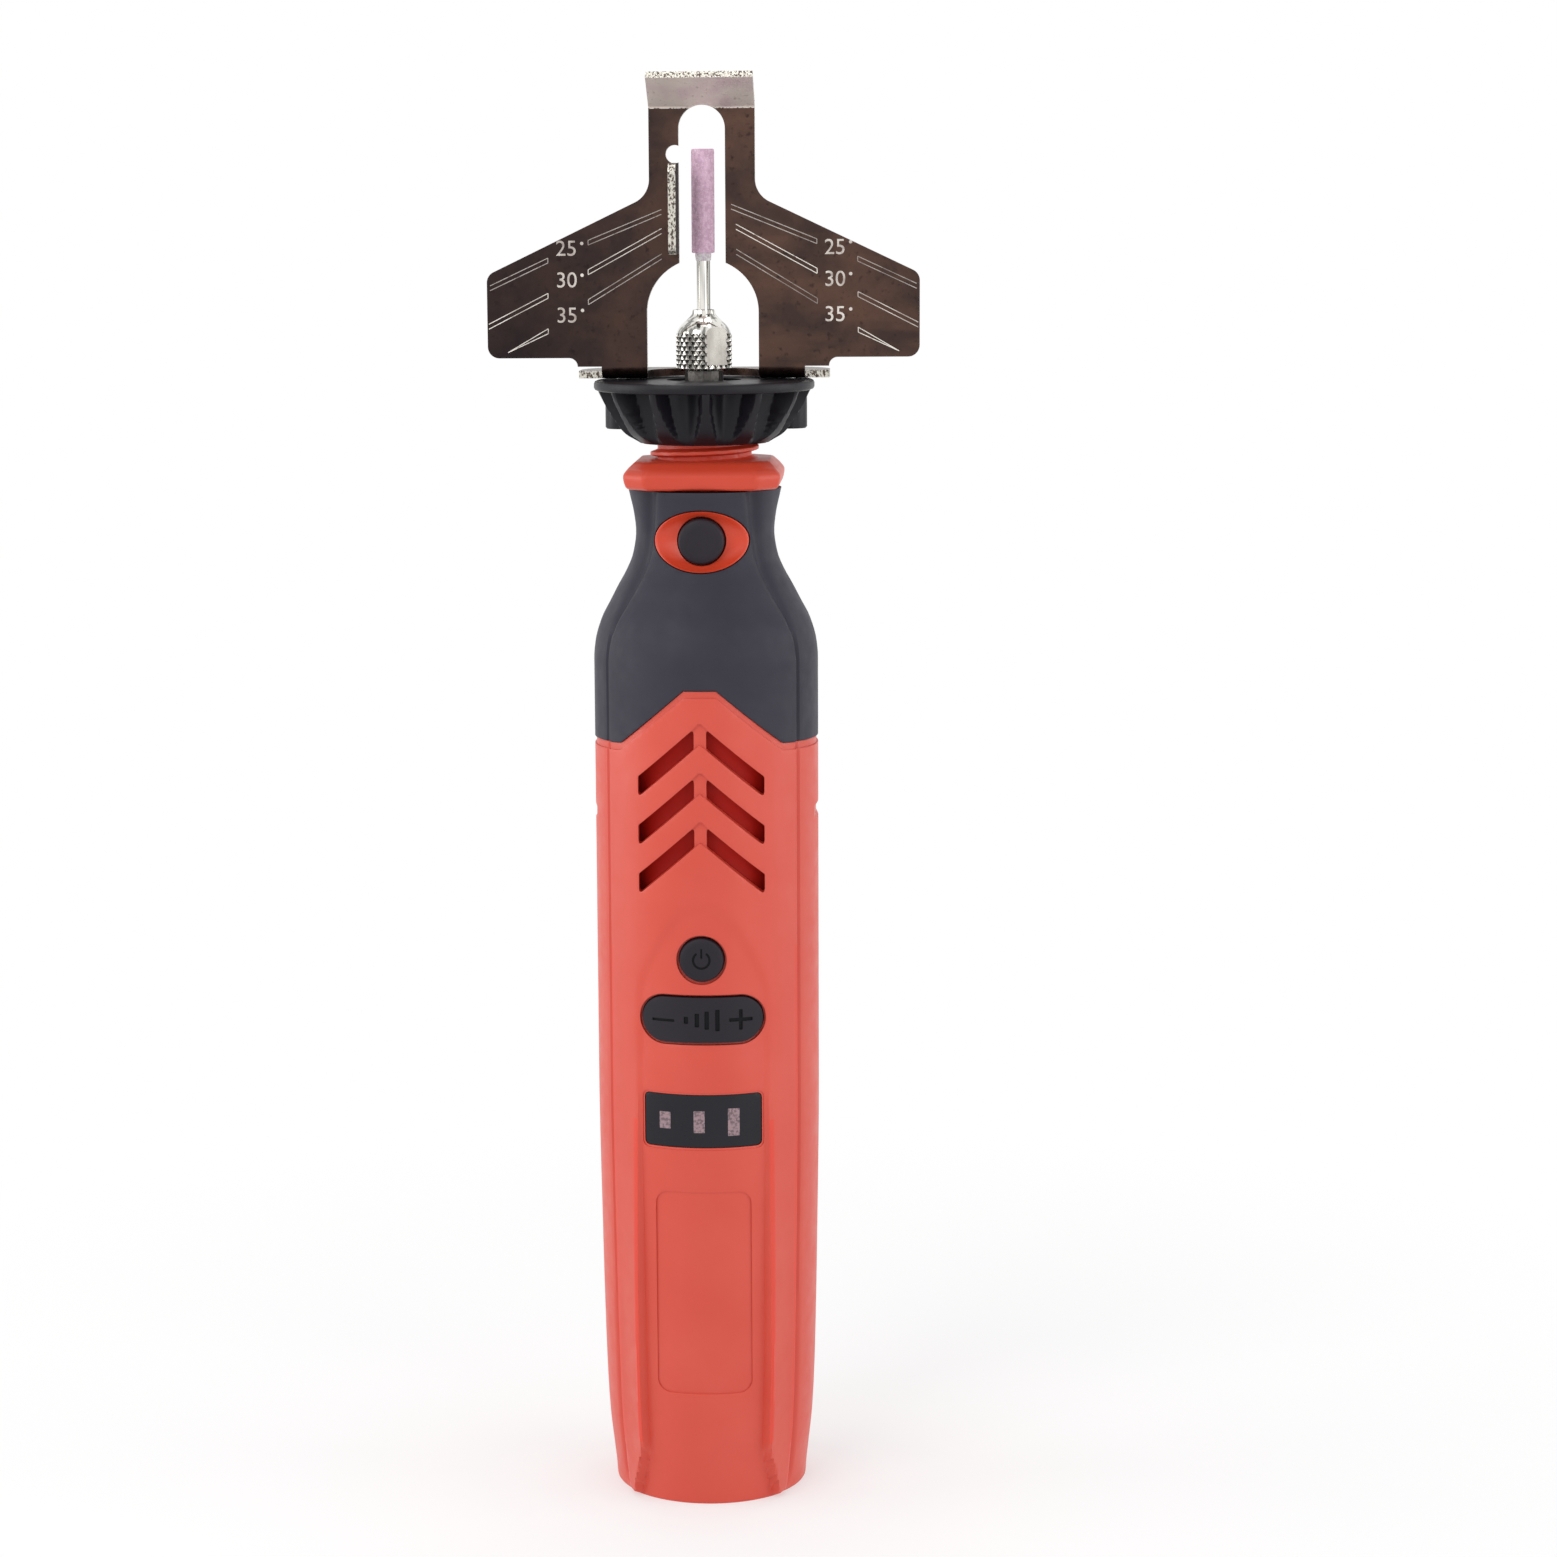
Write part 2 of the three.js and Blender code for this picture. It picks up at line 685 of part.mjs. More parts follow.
// The hollow inside the shells, with the motor's rib and bulkhead left standing in it
function shellHollow() {
  const narrowFrom = gripEdgeHeight - rubber;
  const lower = stations.filter(({ z }, i) => i % 2 === 0 && z > wall && z < narrowFrom - wall);
  const upper = hiddenStations.filter(({ z }) => z > narrowFrom && z < neckTop);
  const profile = [
    [0, wall],
    [stationAt(wall).radius - wall, wall],
    ...lower.map(({ z, radius }) => [radius - wall, z]),
    [stationAt(narrowFrom - wall).radius - wall, narrowFrom - wall],
    [stationAt(narrowFrom).radius - coreInset, narrowFrom],
    ...upper.map(({ z, radius }) => [radius - coreInset, z]),
    [neckBore, neckTop],
    [neckBore, gripTop + overrun],
    [0, gripTop + overrun],
  ];
  const rib = turned(
    tubeProfile(motorRadius + seatGap, far, motorBottom, motorBottom + bulkheadThickness), 20,
  );
  const bulkhead = turned(tubeProfile(bulkheadHole, far, bulkheadBottom, bulkheadTop), 20);
  const holes = sides.map((side) => turnedAt(
    rodProfile(motorScrewRadius + fitGap, motorTop, bulkheadTop + overrun), 0, side * motorScrewCircle, 8,
  ));
  return cut(turned(profile, 20), rib, cut(bulkhead, ...holes));
}

// One vent slot, or the chevron that joins a row's two slots
function ventSlot(row, side) {
  const top = ventTopHeight - row * ventPitch;
  const low = top - ventDrop;
  const points = [
    [side * ventInnerX, top],
    [side * ventInnerX, top - ventSlotHeight],
    [side * ventOuterX, low - ventSlotHeight],
    [side * ventOuterX, low],
  ];
  return shapeOf(side < 0 ? points.reverse() : points);
}

function ventChevron(row) {
  const top = ventTopHeight - row * ventPitch;
  const low = top - ventDrop;
  return shapeOf([
    [-ventOuterX, low], [-ventOuterX, low - ventSlotHeight],
    [-ventInnerX, top - ventSlotHeight], [ventInnerX, top - ventSlotHeight],
    [ventOuterX, low - ventSlotHeight], [ventOuterX, low],
    [ventInnerX, top], [-ventInnerX, top],
  ]);
}

// Slots through the wall at the front and the back, each row joined by a shallow chevron
function ventCuts() {
  const skin = bodyForm(ventRecess);
  const near = motorRadius * Math.cos(radians(barrelCreases[0]));
  const spans = [[-far, -near], [near, far]];
  const rows = Array.from({ length: ventRows }, (_, row) => row);
  return spans.flatMap((span) => rows.flatMap((row) => [
    ...sides.map((side) => frontPrism(ventSlot(row, side), ...span)),
    cut(frontPrism(ventChevron(row), ...span), skin),
  ]));
}

// Where the case screws stand, and how far in the wall there has its middle
const caseScrews = [
  ['bottom', caseScrewX, bottomScrewHeight, wall / 2],
  ['middle', caseScrewX, middleScrewHeight, wall / 2],
  ['top', topScrewX, topScrewHeight, coreInset - neckWall / 2],
].flatMap(([level, x, z, inset]) => sides.map((side) => ({
  name: `case_screw_${level}_${sideName(side)}`, side, x: side * x, z, inset,
})));

// A post round each screw, tied to the wall by a gusset
function screwPosts() {
  const back = screwSeatY + seatGap;
  const front = boardFront - boardThickness - bossBehindBoard;
  return caseScrews.map(({ side, x, z, inset }) => {
    const post = turnedFront(rodProfile(bossRadius, -back, front), x, z, 8);
    const gussets = [-front, back].map((reach) => {
      const end = side * Math.sqrt((stationAt(z).radius - inset) ** 2 - reach ** 2);
      return block(
        Math.min(x, end), Math.max(x, end), Math.min(0, reach), Math.max(0, reach),
        z - gussetThickness / 2, z + gussetThickness / 2,
      );
    });
    return join(post, ...gussets);
  });
}

function screwHoles() {
  return caseScrews.map(({ x, z }) => turnedFront([
    [0, -far],
    [caseScrewHeadRadius + seatGap, -far],
    [caseScrewHeadRadius + seatGap, -screwSeatY],
    [caseScrewRadius + fitGap, -screwSeatY],
    [caseScrewRadius + fitGap, screwReach + seatGap],
    [0, screwReach + seatGap],
  ], x, z, 8));
}

function pryNotches() {
  const [z0, z1] = [pryNotchHeight - pryNotchHalfHeight, pryNotchHeight + pryNotchHalfHeight];
  const edge = bodyRadius - pryNotchDepth;
  return [[-far, -edge], [edge, far]].map(([x0, x1]) =>
    block(x0, x1, -pryNotchHalfDepth, pryNotchHalfDepth, z0, z1));
}

// Both red shells as one form, before the split
function redShell() {
  const outer = cut(bodyForm(0), chevronRegion(seatGap));
  const core = roundForm(rubber + seatGap, gripEdgeHeight - bossRadius * 2, gripTop);
  const hollowed = cut(join(outer, core), shellHollow());
  const band = cut(chevronRegion(beadOffset + beadWidth), chevronRegion(beadOffset));
  const bead = cut(band, bodyForm(beadDepth));
  return cut(join(hollowed, ...screwPosts()), bead, ...pryNotches(), ...screwHoles(), ...ventCuts());
}

function frontHalf(whole) {
  return common(whole, block(-far, far, -far, -seamGap / 2, -overrun, gripTop + overrun));
}

function backHalf(whole) {
  return common(whole, block(-far, far, seamGap / 2, far, -overrun, gripTop + overrun));
}

const stadium = (halfLength, halfHeight, z) => roundedRectangle(halfLength, halfHeight, halfHeight, z);

// Two lugs behind the wall that carry the rocker's pin
function rockerLugs() {
  const near = rockerHalfHeight + rockerGap;
  const [front, back] = [-(hollowRadius + wall / 2), -(rockerPinY - rockerPinRadius * 2)];
  return sides.map((side) => {
    const ends = [near, near + lugThickness].map((offset) => rockerHeight + side * offset);
    return block(-lugHalf, lugHalf, front, back, Math.min(...ends), Math.max(...ends));
  });
}

function rockerPinForm(radius, overhang) {
  const reach = rockerHalfHeight + rockerGap + lugThickness + overhang;
  return turnedAt(rodProfile(radius, rockerHeight - reach, rockerHeight + reach), 0, -rockerPinY, 12);
}

// Four posts that the circuit board sits against
function boardPosts() {
  const x = boardHalfWidth - boardPostRadius * 2;
  const heights = [labelHeight - labelHalfHeight, labelHeight + labelHalfHeight];
  return heights.flatMap((z) => sides.map((side) => turnedFront(
    rodProfile(boardPostRadius, boardFront + seatGap, hollowRadius), side * x, z, 6,
  )));
}

function socketHole() {
  const half = socketHalfWidth + fitGap;
  const [y0, y1] = [socketFrontY - fitGap, socketFrontY + socketDepth + fitGap];
  return block(-half, half, y0, y1, -overrun, wall + seatGap);
}

function housingFront(shell) {
  const mid = -hollowRadius / 2;
  const whole = join(frontHalf(shell), ...rockerLugs(), ...boardPosts());
  const powerHole = turnedFront(rodProfile(powerButtonRadius + buttonGap, -mid, far), 0, powerHeight, 20);
  const lockHole = turnedFront(rodProfile(lockButtonRadius + seatGap, neckBore / 2, far), 0, lockHeight, 16);
  const rockerShape = stadium(rockerHalfLength + rockerGap, rockerHalfHeight + rockerGap, rockerHeight);
  const windowShape = roundedRectangle(windowHalfWidth, windowHalfHeight, windowCorner, windowHeight);
  const labelShape = roundedRectangle(labelHalfWidth, labelHalfHeight, labelCorner, labelHeight);
  const label = cut(frontPrism(labelShape, -far, mid, 3), bodyForm(labelDepth));
  const lugHole = rockerPinForm(rockerPinRadius + fitGap / 2, -lugThickness / 4);
  const openings = [
    powerHole, lockHole, frontPrism(rockerShape, -far, mid, 5),
    frontPrism(windowShape, -far, mid, 2), label, socketHole(),
  ];
  return cut(join(cut(whole, ...openings), ...rockerLugs()), lugHole);
}

// The rubber over-mould as one form, before the split
function rubberSkin() {
  const inner = roundForm(rubber, gripEdgeHeight - overrun, gripTop + overrun);
  const skin = common(cut(bodyForm(0), inner), chevronRegion(0));
  const window = frontPrism(
    ellipse(bezelHalfWidth + fitGap, bezelHalfHeight + fitGap, lockHeight), -far, 0, 10,
  );
  const heads = caseScrews.filter(({ z }) => z === topScrewHeight).map(({ x, z }) => turnedFront(
    rodProfile(caseScrewHeadRadius + seatGap, -far, 0), x, z, 8,
  ));
  return cut(skin, window, ...heads);
}

function lockBezel() {
  const shape = (shrink) => ellipse(bezelHalfWidth - shrink, bezelHalfHeight - shrink, lockHeight);
  const rimHeight = bezelHalfHeight + overrun;
  const band = [lockHeight - rimHeight, lockHeight + rimHeight];
  const body = cut(bodyForm(-bezelProud, ...band), roundForm(rubber, ...band));
  const dish = cut(frontPrism(shape(bezelRim), -far, 0, 10), bodyForm(bezelDish, ...band));
  const hole = turnedFront(rodProfile(lockButtonRadius + seatGap, 0, far), 0, lockHeight, 20);
  return cut(common(frontPrism(shape(0), -far, 0, 10), body), dish, hole);
}

const lockFace = stationAt(lockHeight).radius + creaseStep + bezelProud - lockSink;
const lockRoofInner = lockFace - lockRoof;
const lockBlind = lockFace - lockBlindDepth;
const lockBottom = spigotRadius + lockTravel + fitGap;

function lockButton() {
  return turnedFront([
    [0, lockFace],
    [0, lockBlind],
    [pinRadius + fitGap / 2, lockBlind],
    [pinRadius + fitGap / 2, lockRoofInner],
    [lockButtonRadius - lockSkirt, lockRoofInner],
    [lockButtonRadius - lockSkirt, lockBottom],
    [lockButtonRadius, lockBottom],
    [lockButtonRadius, lockFace - lockEdge],
    [lockButtonRadius - lockEdge, lockFace],
  ], 0, lockHeight, 18);
}

function lockPin() {
  const tip = spindleCollarRadius + pinGap;
  return turnedFront(rodProfile(pinRadius, tip, lockBlind - thinGap), 0, lockHeight, 10);
}

function lockClip() {
  const profile = tubeProfile(pinRadius + fitGap / 2, clipRadius, clipFront - clipThickness, clipFront);
  return turnedFront(profile, 0, lockHeight, 10);
}

const springSeat = spigotRadius - seatGap * 2;

// The helix of the lock's return spring, along Y
class SpringPath extends THREE.Curve {
  getPoint(t, target = new THREE.Vector3()) {
    const turn = t * springTurns * Math.PI * 2;
    const from = springSeat + springWire;
    const to = lockRoofInner - springWire;
    const y = -mix(from, to, t);
    return target.set(springRadius * Math.cos(turn), y, lockHeight + springRadius * Math.sin(turn));
  }
}

function lockSpring() {
  const section = new THREE.Shape();
  section.absarc(0, 0, springWire / 2, 0, Math.PI * 2, false);
  const options = {
    steps: springTurns * 7, bevelEnabled: false, extrudePath: new SpringPath(), curveSegments: 2,
  };
  return solid(new THREE.ExtrudeGeometry(section, options));
}

function powerButton() {
  const face = panelRadius + powerProud;
  const bottom = switchTop + powerTravel + seatGap / 3;
  const cap = turnedFront([
    [0, bottom],
    [powerButtonRadius, bottom],
    [powerButtonRadius, face - buttonEdge],
    [powerButtonRadius - buttonEdge, face],
    [0, face],
  ], 0, powerHeight, 24);
  const [z0, z1] = [powerHeight - powerTabHalfHeight, powerHeight + powerTabHalfHeight];
  return join(cap, block(-powerTabHalf, powerTabHalf, -bottom - powerTabThickness, -bottom, z0, z1));
}

function speedRocker() {
  const margin = rockerHalfHeight + overrun;
  const band = [rockerHeight - margin, rockerHeight + margin];
  const skin = cut(bodyForm(-rockerProud, ...band), bodyForm(rockerThickness, ...band));
  const outline = stadium(rockerHalfLength, rockerHalfHeight, rockerHeight);
  const cap = common(frontPrism(outline, -far, 0, 5), skin);
  const half = rockerHalfHeight - rockerGap;
  const web = block(
    -lugHalf, lugHalf, -panelRadius + rockerThickness / 2, -rockerPinY + webBehindPin,
    rockerHeight - half, rockerHeight + half,
  );
  return cut(join(cap, web), rockerPinForm(rockerPinRadius + fitGap, overrun));
}

function chargeWindow() {
  const margin = windowHalfHeight + overrun;
  const band = [windowHeight - margin, windowHeight + margin];
  const skin = cut(bodyForm(windowRecess, ...band), bodyForm(windowRecess + windowThickness, ...band));
  const outline = roundedRectangle(
    windowHalfWidth - fitGap, windowHalfHeight - fitGap, windowCorner, windowHeight,
  );
  return common(frontPrism(outline, -far, 0, 2), skin);
}

function pushSwitch(x, z) {
  const base = boardFront + seatGap;
  const body = block(
    x - switchHalf, x + switchHalf, -base - switchBody, -base, z - switchHalf, z + switchHalf,
  );
  return join(body, turnedFront(rodProfile(plungerRadius, base + switchBody / 2, switchTop), x, z, 10));
}

function chargeLight(x) {
  const base = boardFront + seatGap;
  return block(
    x - lightHalf, x + lightHalf, -base - lightDepth, -base,
    windowHeight - lightHalf * 2, windowHeight + lightHalf * 2,
  );
}

function chargeSocket() {
  const [x, y0, y1] = [socketHalfWidth, socketFrontY, socketFrontY + socketDepth];
  const [bottom, top] = [socketRecess, socketRecess + socketLength];
  const shell = block(-x, x, y0, y1, bottom, top);
  const inside = block(
    socketWall - x, x - socketWall, y0 + socketWall, y1 - socketWall, bottom - overrun, top - socketWall * 2,
  );
  const middle = (y0 + y1) / 2;
  const tongueHalf = x - socketWall * 3;
  const tongue = block(
    -tongueHalf, tongueHalf, middle - socketTongue / 2, middle + socketTongue / 2,
    bottom + socketWall * 2, top - socketWall,
  );
  return join(cut(shell, inside), tongue);
}

function batteryCell() {
  const top = cellBottom + cellLength;
  return turnedAt([
    [0, cellBottom], [cellRadius, cellBottom],
    [cellRadius, top - cellNubHeight], [cellNubRadius, top - cellNubHeight],
    [cellNubRadius, top], [0, top],
  ], 0, cellCentreY, 16);
}

function batteryHolder() {
  const inner = holderRadius - holderWall;
  const bottom = cellBottom - seatGap - holderWall;
  const shell = turnedAt(rodProfile(holderRadius, bottom, holderTop), 0, cellCentreY, 24);
  const room = turnedAt(rodProfile(inner, bottom + holderWall, holderTop - holderWall), 0, cellCentreY, 24);
  const mouth = block(-far, far, -far, cellCentreY - holderOpening, 0, holderTop + overrun);
  return cut(shell, room, mouth);
}

function motorCan() {
  const bottom = motorBottom + endBellHeight + seatGap;
  const hole = motorShaftRadius + fitGap;
  const inner = motorRadius - motorWall;
  const can = turned([
    [inner, bottom], [motorRadius, bottom], [motorRadius, motorTop],
    [motorBossRadius, motorTop], [motorBossRadius, motorTop + motorBossHeight],
    [hole, motorTop + motorBossHeight], [hole, motorTop - motorWall], [inner, motorTop - motorWall],
  ], 18);
  const holes = sides.map((side) => turnedAt(
    rodProfile(motorScrewRadius + fitGap, motorTop - overrun, motorTop + overrun),
    0, side * motorScrewCircle, 8,
  ));
  return cut(can, ...holes);
}

function motorEndBell() {
  const hole = motorShaftRadius + fitGap;
  const plug = motorRadius - motorWall - seatGap;
  const [bottom, lip] = [motorBottom, motorBottom + endBellHeight];
  const top = lip + endBellHeight;
  return turned([
    [hole, bottom], [motorRadius, bottom], [motorRadius, lip], [plug, lip], [plug, top],
    [plug - motorWall, top], [plug - motorWall, lip], [hole, lip],
  ], 12);
}

// A magnet arc on one side of the motor
function motorMagnet(side) {
  const outer = motorRadius - motorWall - seatGap;
  const inner = outer - magnetThickness;
  const half = radians(magnetHalfDegrees);
  const shape = new THREE.Shape();
  shape.absarc(0, 0, outer, -half, half, false);
  shape.absarc(0, 0, inner, half, -half, true);
  const options = { depth: rotorLength, bevelEnabled: false, curveSegments: 8 };
  const geometry = new THREE.ExtrudeGeometry(shape, options);
  return solid(geometry.rotateZ(side < 0 ? Math.PI : 0).translate(0, 0, rotorBottom));
}

// The wound rotor: a star of pole shoes with its commutator below
function motorRotor() {
  const pole = 360 / rotorPoles;
  const points = Array.from({ length: rotorPoles }, (_, k) => poleShares.map(([turn, reach]) => {
    const angle = radians((k + turn) * pole);
    return [rotorRadius * reach * Math.cos(angle), rotorRadius * reach * Math.sin(angle)];
  })).flat();
  const core = topPrism(shapeOf(points), rotorBottom, rotorBottom + rotorLength);
  const commutator = turned(rodProfile(
    commutatorRadius, rotorBottom - commutatorLength + seatGap, rotorBottom + overrun,
  ), 10);
  const bore = turned(rodProfile(
    motorShaftRadius + fitGap / 2, rotorBottom - far, rotorBottom + far,
  ), 8);
  return cut(join(core, commutator), bore);
}

function coolingFan() {
  const hub = commutatorRadius;
  const shaftBore = motorShaftRadius + fitGap / 2;
  const disc = turned(tubeProfile(shaftBore, fanRadius, fanBottom, fanBottom + fanDisc), 12);
  const sleeve = turned(tubeProfile(shaftBore, hub, fanBottom, fanTop), 8);
  const blades = Array.from({ length: fanBlades }, (_, k) => {
    const length = fanRadius - hub;
    const geometry = new THREE.BoxGeometry(length, fanBlade, fanHeight);
    geometry.translate(hub + length / 2 - fanBlade / 4, 0, fanBottom + fanHeight / 2);
    return solid(geometry.rotateZ(radians((k * 360) / fanBlades)));
  });
  return join(disc, sleeve, ...blades);
}

function motorScrew(side) {
  const under = bulkheadTop + thinGap;
  return turnedAt([
    [0, under - motorScrewLength],
    [motorScrewRadius, under - motorScrewLength],
    [motorScrewRadius, under],
    [motorScrewHeadRadius, under],
    [motorScrewHeadRadius, under + motorScrewHeadHeight],
    [0, under + motorScrewHeadHeight],
  ], 0, side * motorScrewCircle, 8);
}

function shaftCoupling() {
  const split = spindleBottom - seatGap / 2;
  return turned([
    [motorShaftRadius + fitGap / 2, couplingBottom], [couplingRadius, couplingBottom],
    [couplingRadius, couplingTop], [spindleRadius + fitGap / 2, couplingTop],
    [spindleRadius + fitGap / 2, split], [motorShaftRadius + fitGap / 2, split],
  ], 12);
}

function spindle() {
  const colletBore = colletRadius + fitGap;
  const boreBottom = nutTop - spindleBoreDepth;
  const [collarLow, collarHigh] = [lockHeight - spindleCollarHalf, lockHeight + spindleCollarHalf];
  const flangeLow = frontBearingBottom + bearingWidth + seatGap;
  const flareBottom = spindleTop - colletConeHeight;
  const body = turned([
    [0, spindleBottom], [spindleRadius, spindleBottom],
    [spindleRadius, collarLow], [spindleCollarRadius, collarLow],
    [spindleCollarRadius, collarHigh], [spindleRadius, collarHigh],
    [spindleRadius, flangeLow], [spindleFlangeRadius, flangeLow],
    [spindleFlangeRadius, cupTop - seatGap], [spindleNoseRadius, cupTop - seatGap],
    [spindleNoseRadius, spindleTop], [colletHeadRadius + fitGap, spindleTop],
    [colletBore, flareBottom], [colletBore, colletBottom - seatGap],
    [spindleBore, colletBottom - seatGap], [spindleBore, boreBottom], [0, boreBottom],
  ], 14);
  const across = turnedFront(rodProfile(crossHoleRadius, -far, far), 0, lockHeight, 8);
  const other = turnedGeometry(rodProfile(crossHoleRadius, -far, far), 8);
  return cut(body, across, solid(other.rotateY(Math.PI / 2).translate(0, 0, lockHeight)));
}

function bearingRaces(bottom) {
  const top = bottom + bearingWidth;
  const innerRace = spindleRadius + fitGap;
  const outer = turned([
    [bearingRadius - raceWall, bottom], [bearingRadius, bottom],
    [bearingRadius, top], [bearingRadius - raceWall, top],
  ], 14);
  const inner = turned([
    [innerRace, bottom], [innerRace + raceWall, bottom],
    [innerRace + raceWall, top], [innerRace, top],
  ], 12);
  return { outer, inner };
}

function collet() {
  const inner = shankRadius + fitGap;
  const body = turned([
    [inner, colletBottom], [colletRadius, colletBottom], [colletRadius, spindleTop - colletConeHeight],
    [colletHeadRadius, spindleTop], [colletTipRadius, colletTip], [inner, colletTip],
  ], 12);
  const from = colletBottom + colletFoot;
  const slot = colletSlot / 2;
  const reach = colletHeadRadius + overrun;
  return cut(
    body,
    block(-reach, reach, -slot, slot, from, colletTip + overrun),
    block(-slot, slot, -reach, reach, from, colletTip + overrun),
  );
}

// The knurled nut: crests and roots alternate round each ring and from ring to ring
function colletNut() {
  const count = knurlDiamonds * 2;
  const ring = (z, reach) => Array.from({ length: count }, (_, j) => {
    const angle = (j / count) * Math.PI * 2;
    return [reach(j) * Math.cos(angle), reach(j) * Math.sin(angle), z];
  });
  const knurlBottom = nutBottom + nutFootEdge;
  const rows = Array.from({ length: knurlRows + 1 }, (_, i) => ring(
    mix(knurlBottom, nutBottom + knurlTop, i / knurlRows),
    (j) => nutRadius - ((i + j) % 2 ? knurlDepth : 0),
  ));
  const knurled = loft([ring(nutBottom, () => nutFootRadius), ...rows]);
  const domeBottom = nutBottom + knurlTop - fitGap;
  const dome = turned([
    [0, domeBottom],
    [nutRadius * nutDomeShares[0][1], domeBottom],
    ...nutDomeShares.map(([up, reach]) => [nutRadius * reach, nutBottom + up * nutHeight]),
    [0, nutTop],
  ], 16);
  const outer = join(knurled, dome);
  const thread = spindleNoseRadius + fitGap;
  const coneBottom = spindleTop + seatGap;
  const coneTop = nutTop - nutRoofHeight;
  const inside = turned([
    [0, nutBottom - overrun], [thread, nutBottom - overrun], [thread, coneBottom],
    [nutHole, coneTop], [nutHole, nutTop + overrun], [0, nutTop + overrun],
  ], 12);
  const flats = sides.map((side) => {
    const height = nutHeight + overrun;
    const geometry = new THREE.BoxGeometry(far, far, height);
    geometry.translate(0, side * (nutFlatHalf + far / 2), nutBottom + nutFlatRise + height / 2);
    return solid(geometry.rotateZ(radians(nutFlatDegrees)));
  });
  return cut(outer, inside, ...flats);
}

function stoneShank() {
  const cementTop = stoneBottom - thinGap;
  const top = stoneBottom + stoneBore - seatGap;
  return turned([
    [0, shankBottom], [shankRadius, shankBottom],
    [shankRadius, cementTop - cementLength], [cementRadius, cementTop - cementLength + fitGap],
    [cementRadius, cementTop], [shankRadius, cementTop], [shankRadius, top], [0, top],
  ], 14);
}

function grindingStone() {
  const top = stoneBottom + stoneLength;
  const bore = shankRadius + fitGap / 2;
  return turned([
    [bore, stoneBottom], [stoneRadius, stoneBottom], [stoneRadius, top - fitGap],
    [stoneRadius - fitGap, top], [0, top], [0, stoneBottom + stoneBore], [bore, stoneBottom + stoneBore],
  ], 18);
}

// A square with chamfered corners, as a ring at one height
function collarRing(z, half) {
  const short = half - collarChamfer;
  const corners = [[short, -half], [half, -short], [half, short], [short, half]];
  return [...corners, ...corners.map(([x, y]) => [-x, -y])].map(([x, y]) => [x, y, z]);
}

function threadedNose() {
  const wide = collarBottom + collarHeight * collarWideShare;
  const collar = loft([
    collarRing(collarBottom, collarFootHalf),
    collarRing(wide, collarHalf),
    collarRing(collarTop, collarTopHalf),
  ]);
  const barrel = turned([
    [0, spigotBottom], [spigotRadius, spigotBottom], [spigotRadius, collarBottom + fitGap],
    [threadRootRadius, collarBottom + fitGap], [threadRootRadius, noseTop - noseEdge],
    [threadRootRadius - noseEdge, noseTop], [0, noseTop],
  ], 20);
  const bore = turned([
    [0, spigotBottom - overrun],
    [bearingSeat, spigotBottom - overrun],
    [bearingSeat, rearBearingBottom + bearingWidth + thinGap],
    [spigotBore, rearBearingBottom + bearingWidth + thinGap],
    [spigotBore, frontBearingBottom - thinGap],
    [bearingSeat, frontBearingBottom - thinGap],
    [bearingSeat, noseTop + overrun],
    [0, noseTop + overrun],
  ], 16);
  const guide = turnedFront(rodProfile(pinRadius + fitGap, 0, far), 0, lockHeight, 8);
  const seat = lockButtonRadius - lockSkirt;
  const spotFace = turnedFront(rodProfile(seat, springSeat, collarBottom), 0, lockHeight, 12);
  return cut(join(collar, barrel), bore, guide, spotFace);
}

// One ring of the cup: thin ribs with hollow flutes between them
function cupRing(level) {
  const z = mix(cupBottom, cupCeiling + cupRimEdge, cupHeightShares[level]);
  const rib = cupRimRadius * cupRibShares[level];
  const flute = cupRimRadius * cupFluteShares[level];
  const flank = mix(flute, rib, cupFlankShare);
  const half = cupRibHalfDegrees[level];
  const pitch = 360 / cupRibs;
  const edge = Math.min(half + cupFlankDegrees, pitch / 2 - fitGap);
  const pattern = [[-half, rib], [half, rib], [edge, flank], [pitch / 2, flute], [pitch - edge, flank]];
  return Array.from({ length: cupRibs }, (_, k) => pattern.map(([degrees, reach]) => {
    const angle = radians(degrees + k * pitch + cupRibTurnDegrees - 90);
    return [reach * Math.cos(angle), reach * Math.sin(angle), z];
  })).flat();
}

// A screw boss that fills its flute down to the cup's core
function cupBoss(side) {
  const [bottom, top] = [cupCeiling - cupBossDrop, cupCeiling + cupRimEdge];
  const reach = Math.hypot(cupBossX, cupBossY);
  const inner = cupBoreRadius + fitGap * 2;
  const web = new THREE.BoxGeometry(reach - inner, cupBossRadius * 2, top - bottom);
  web.translate((reach + inner) / 2, 0, (bottom + top) / 2);
  web.rotateZ(Math.atan2(cupBossY, side * cupBossX));
  const post = turnedAt(rodProfile(cupBossRadius, bottom, top), side * cupBossX, cupBossY, 10);
  return join(post, solid(web));
}

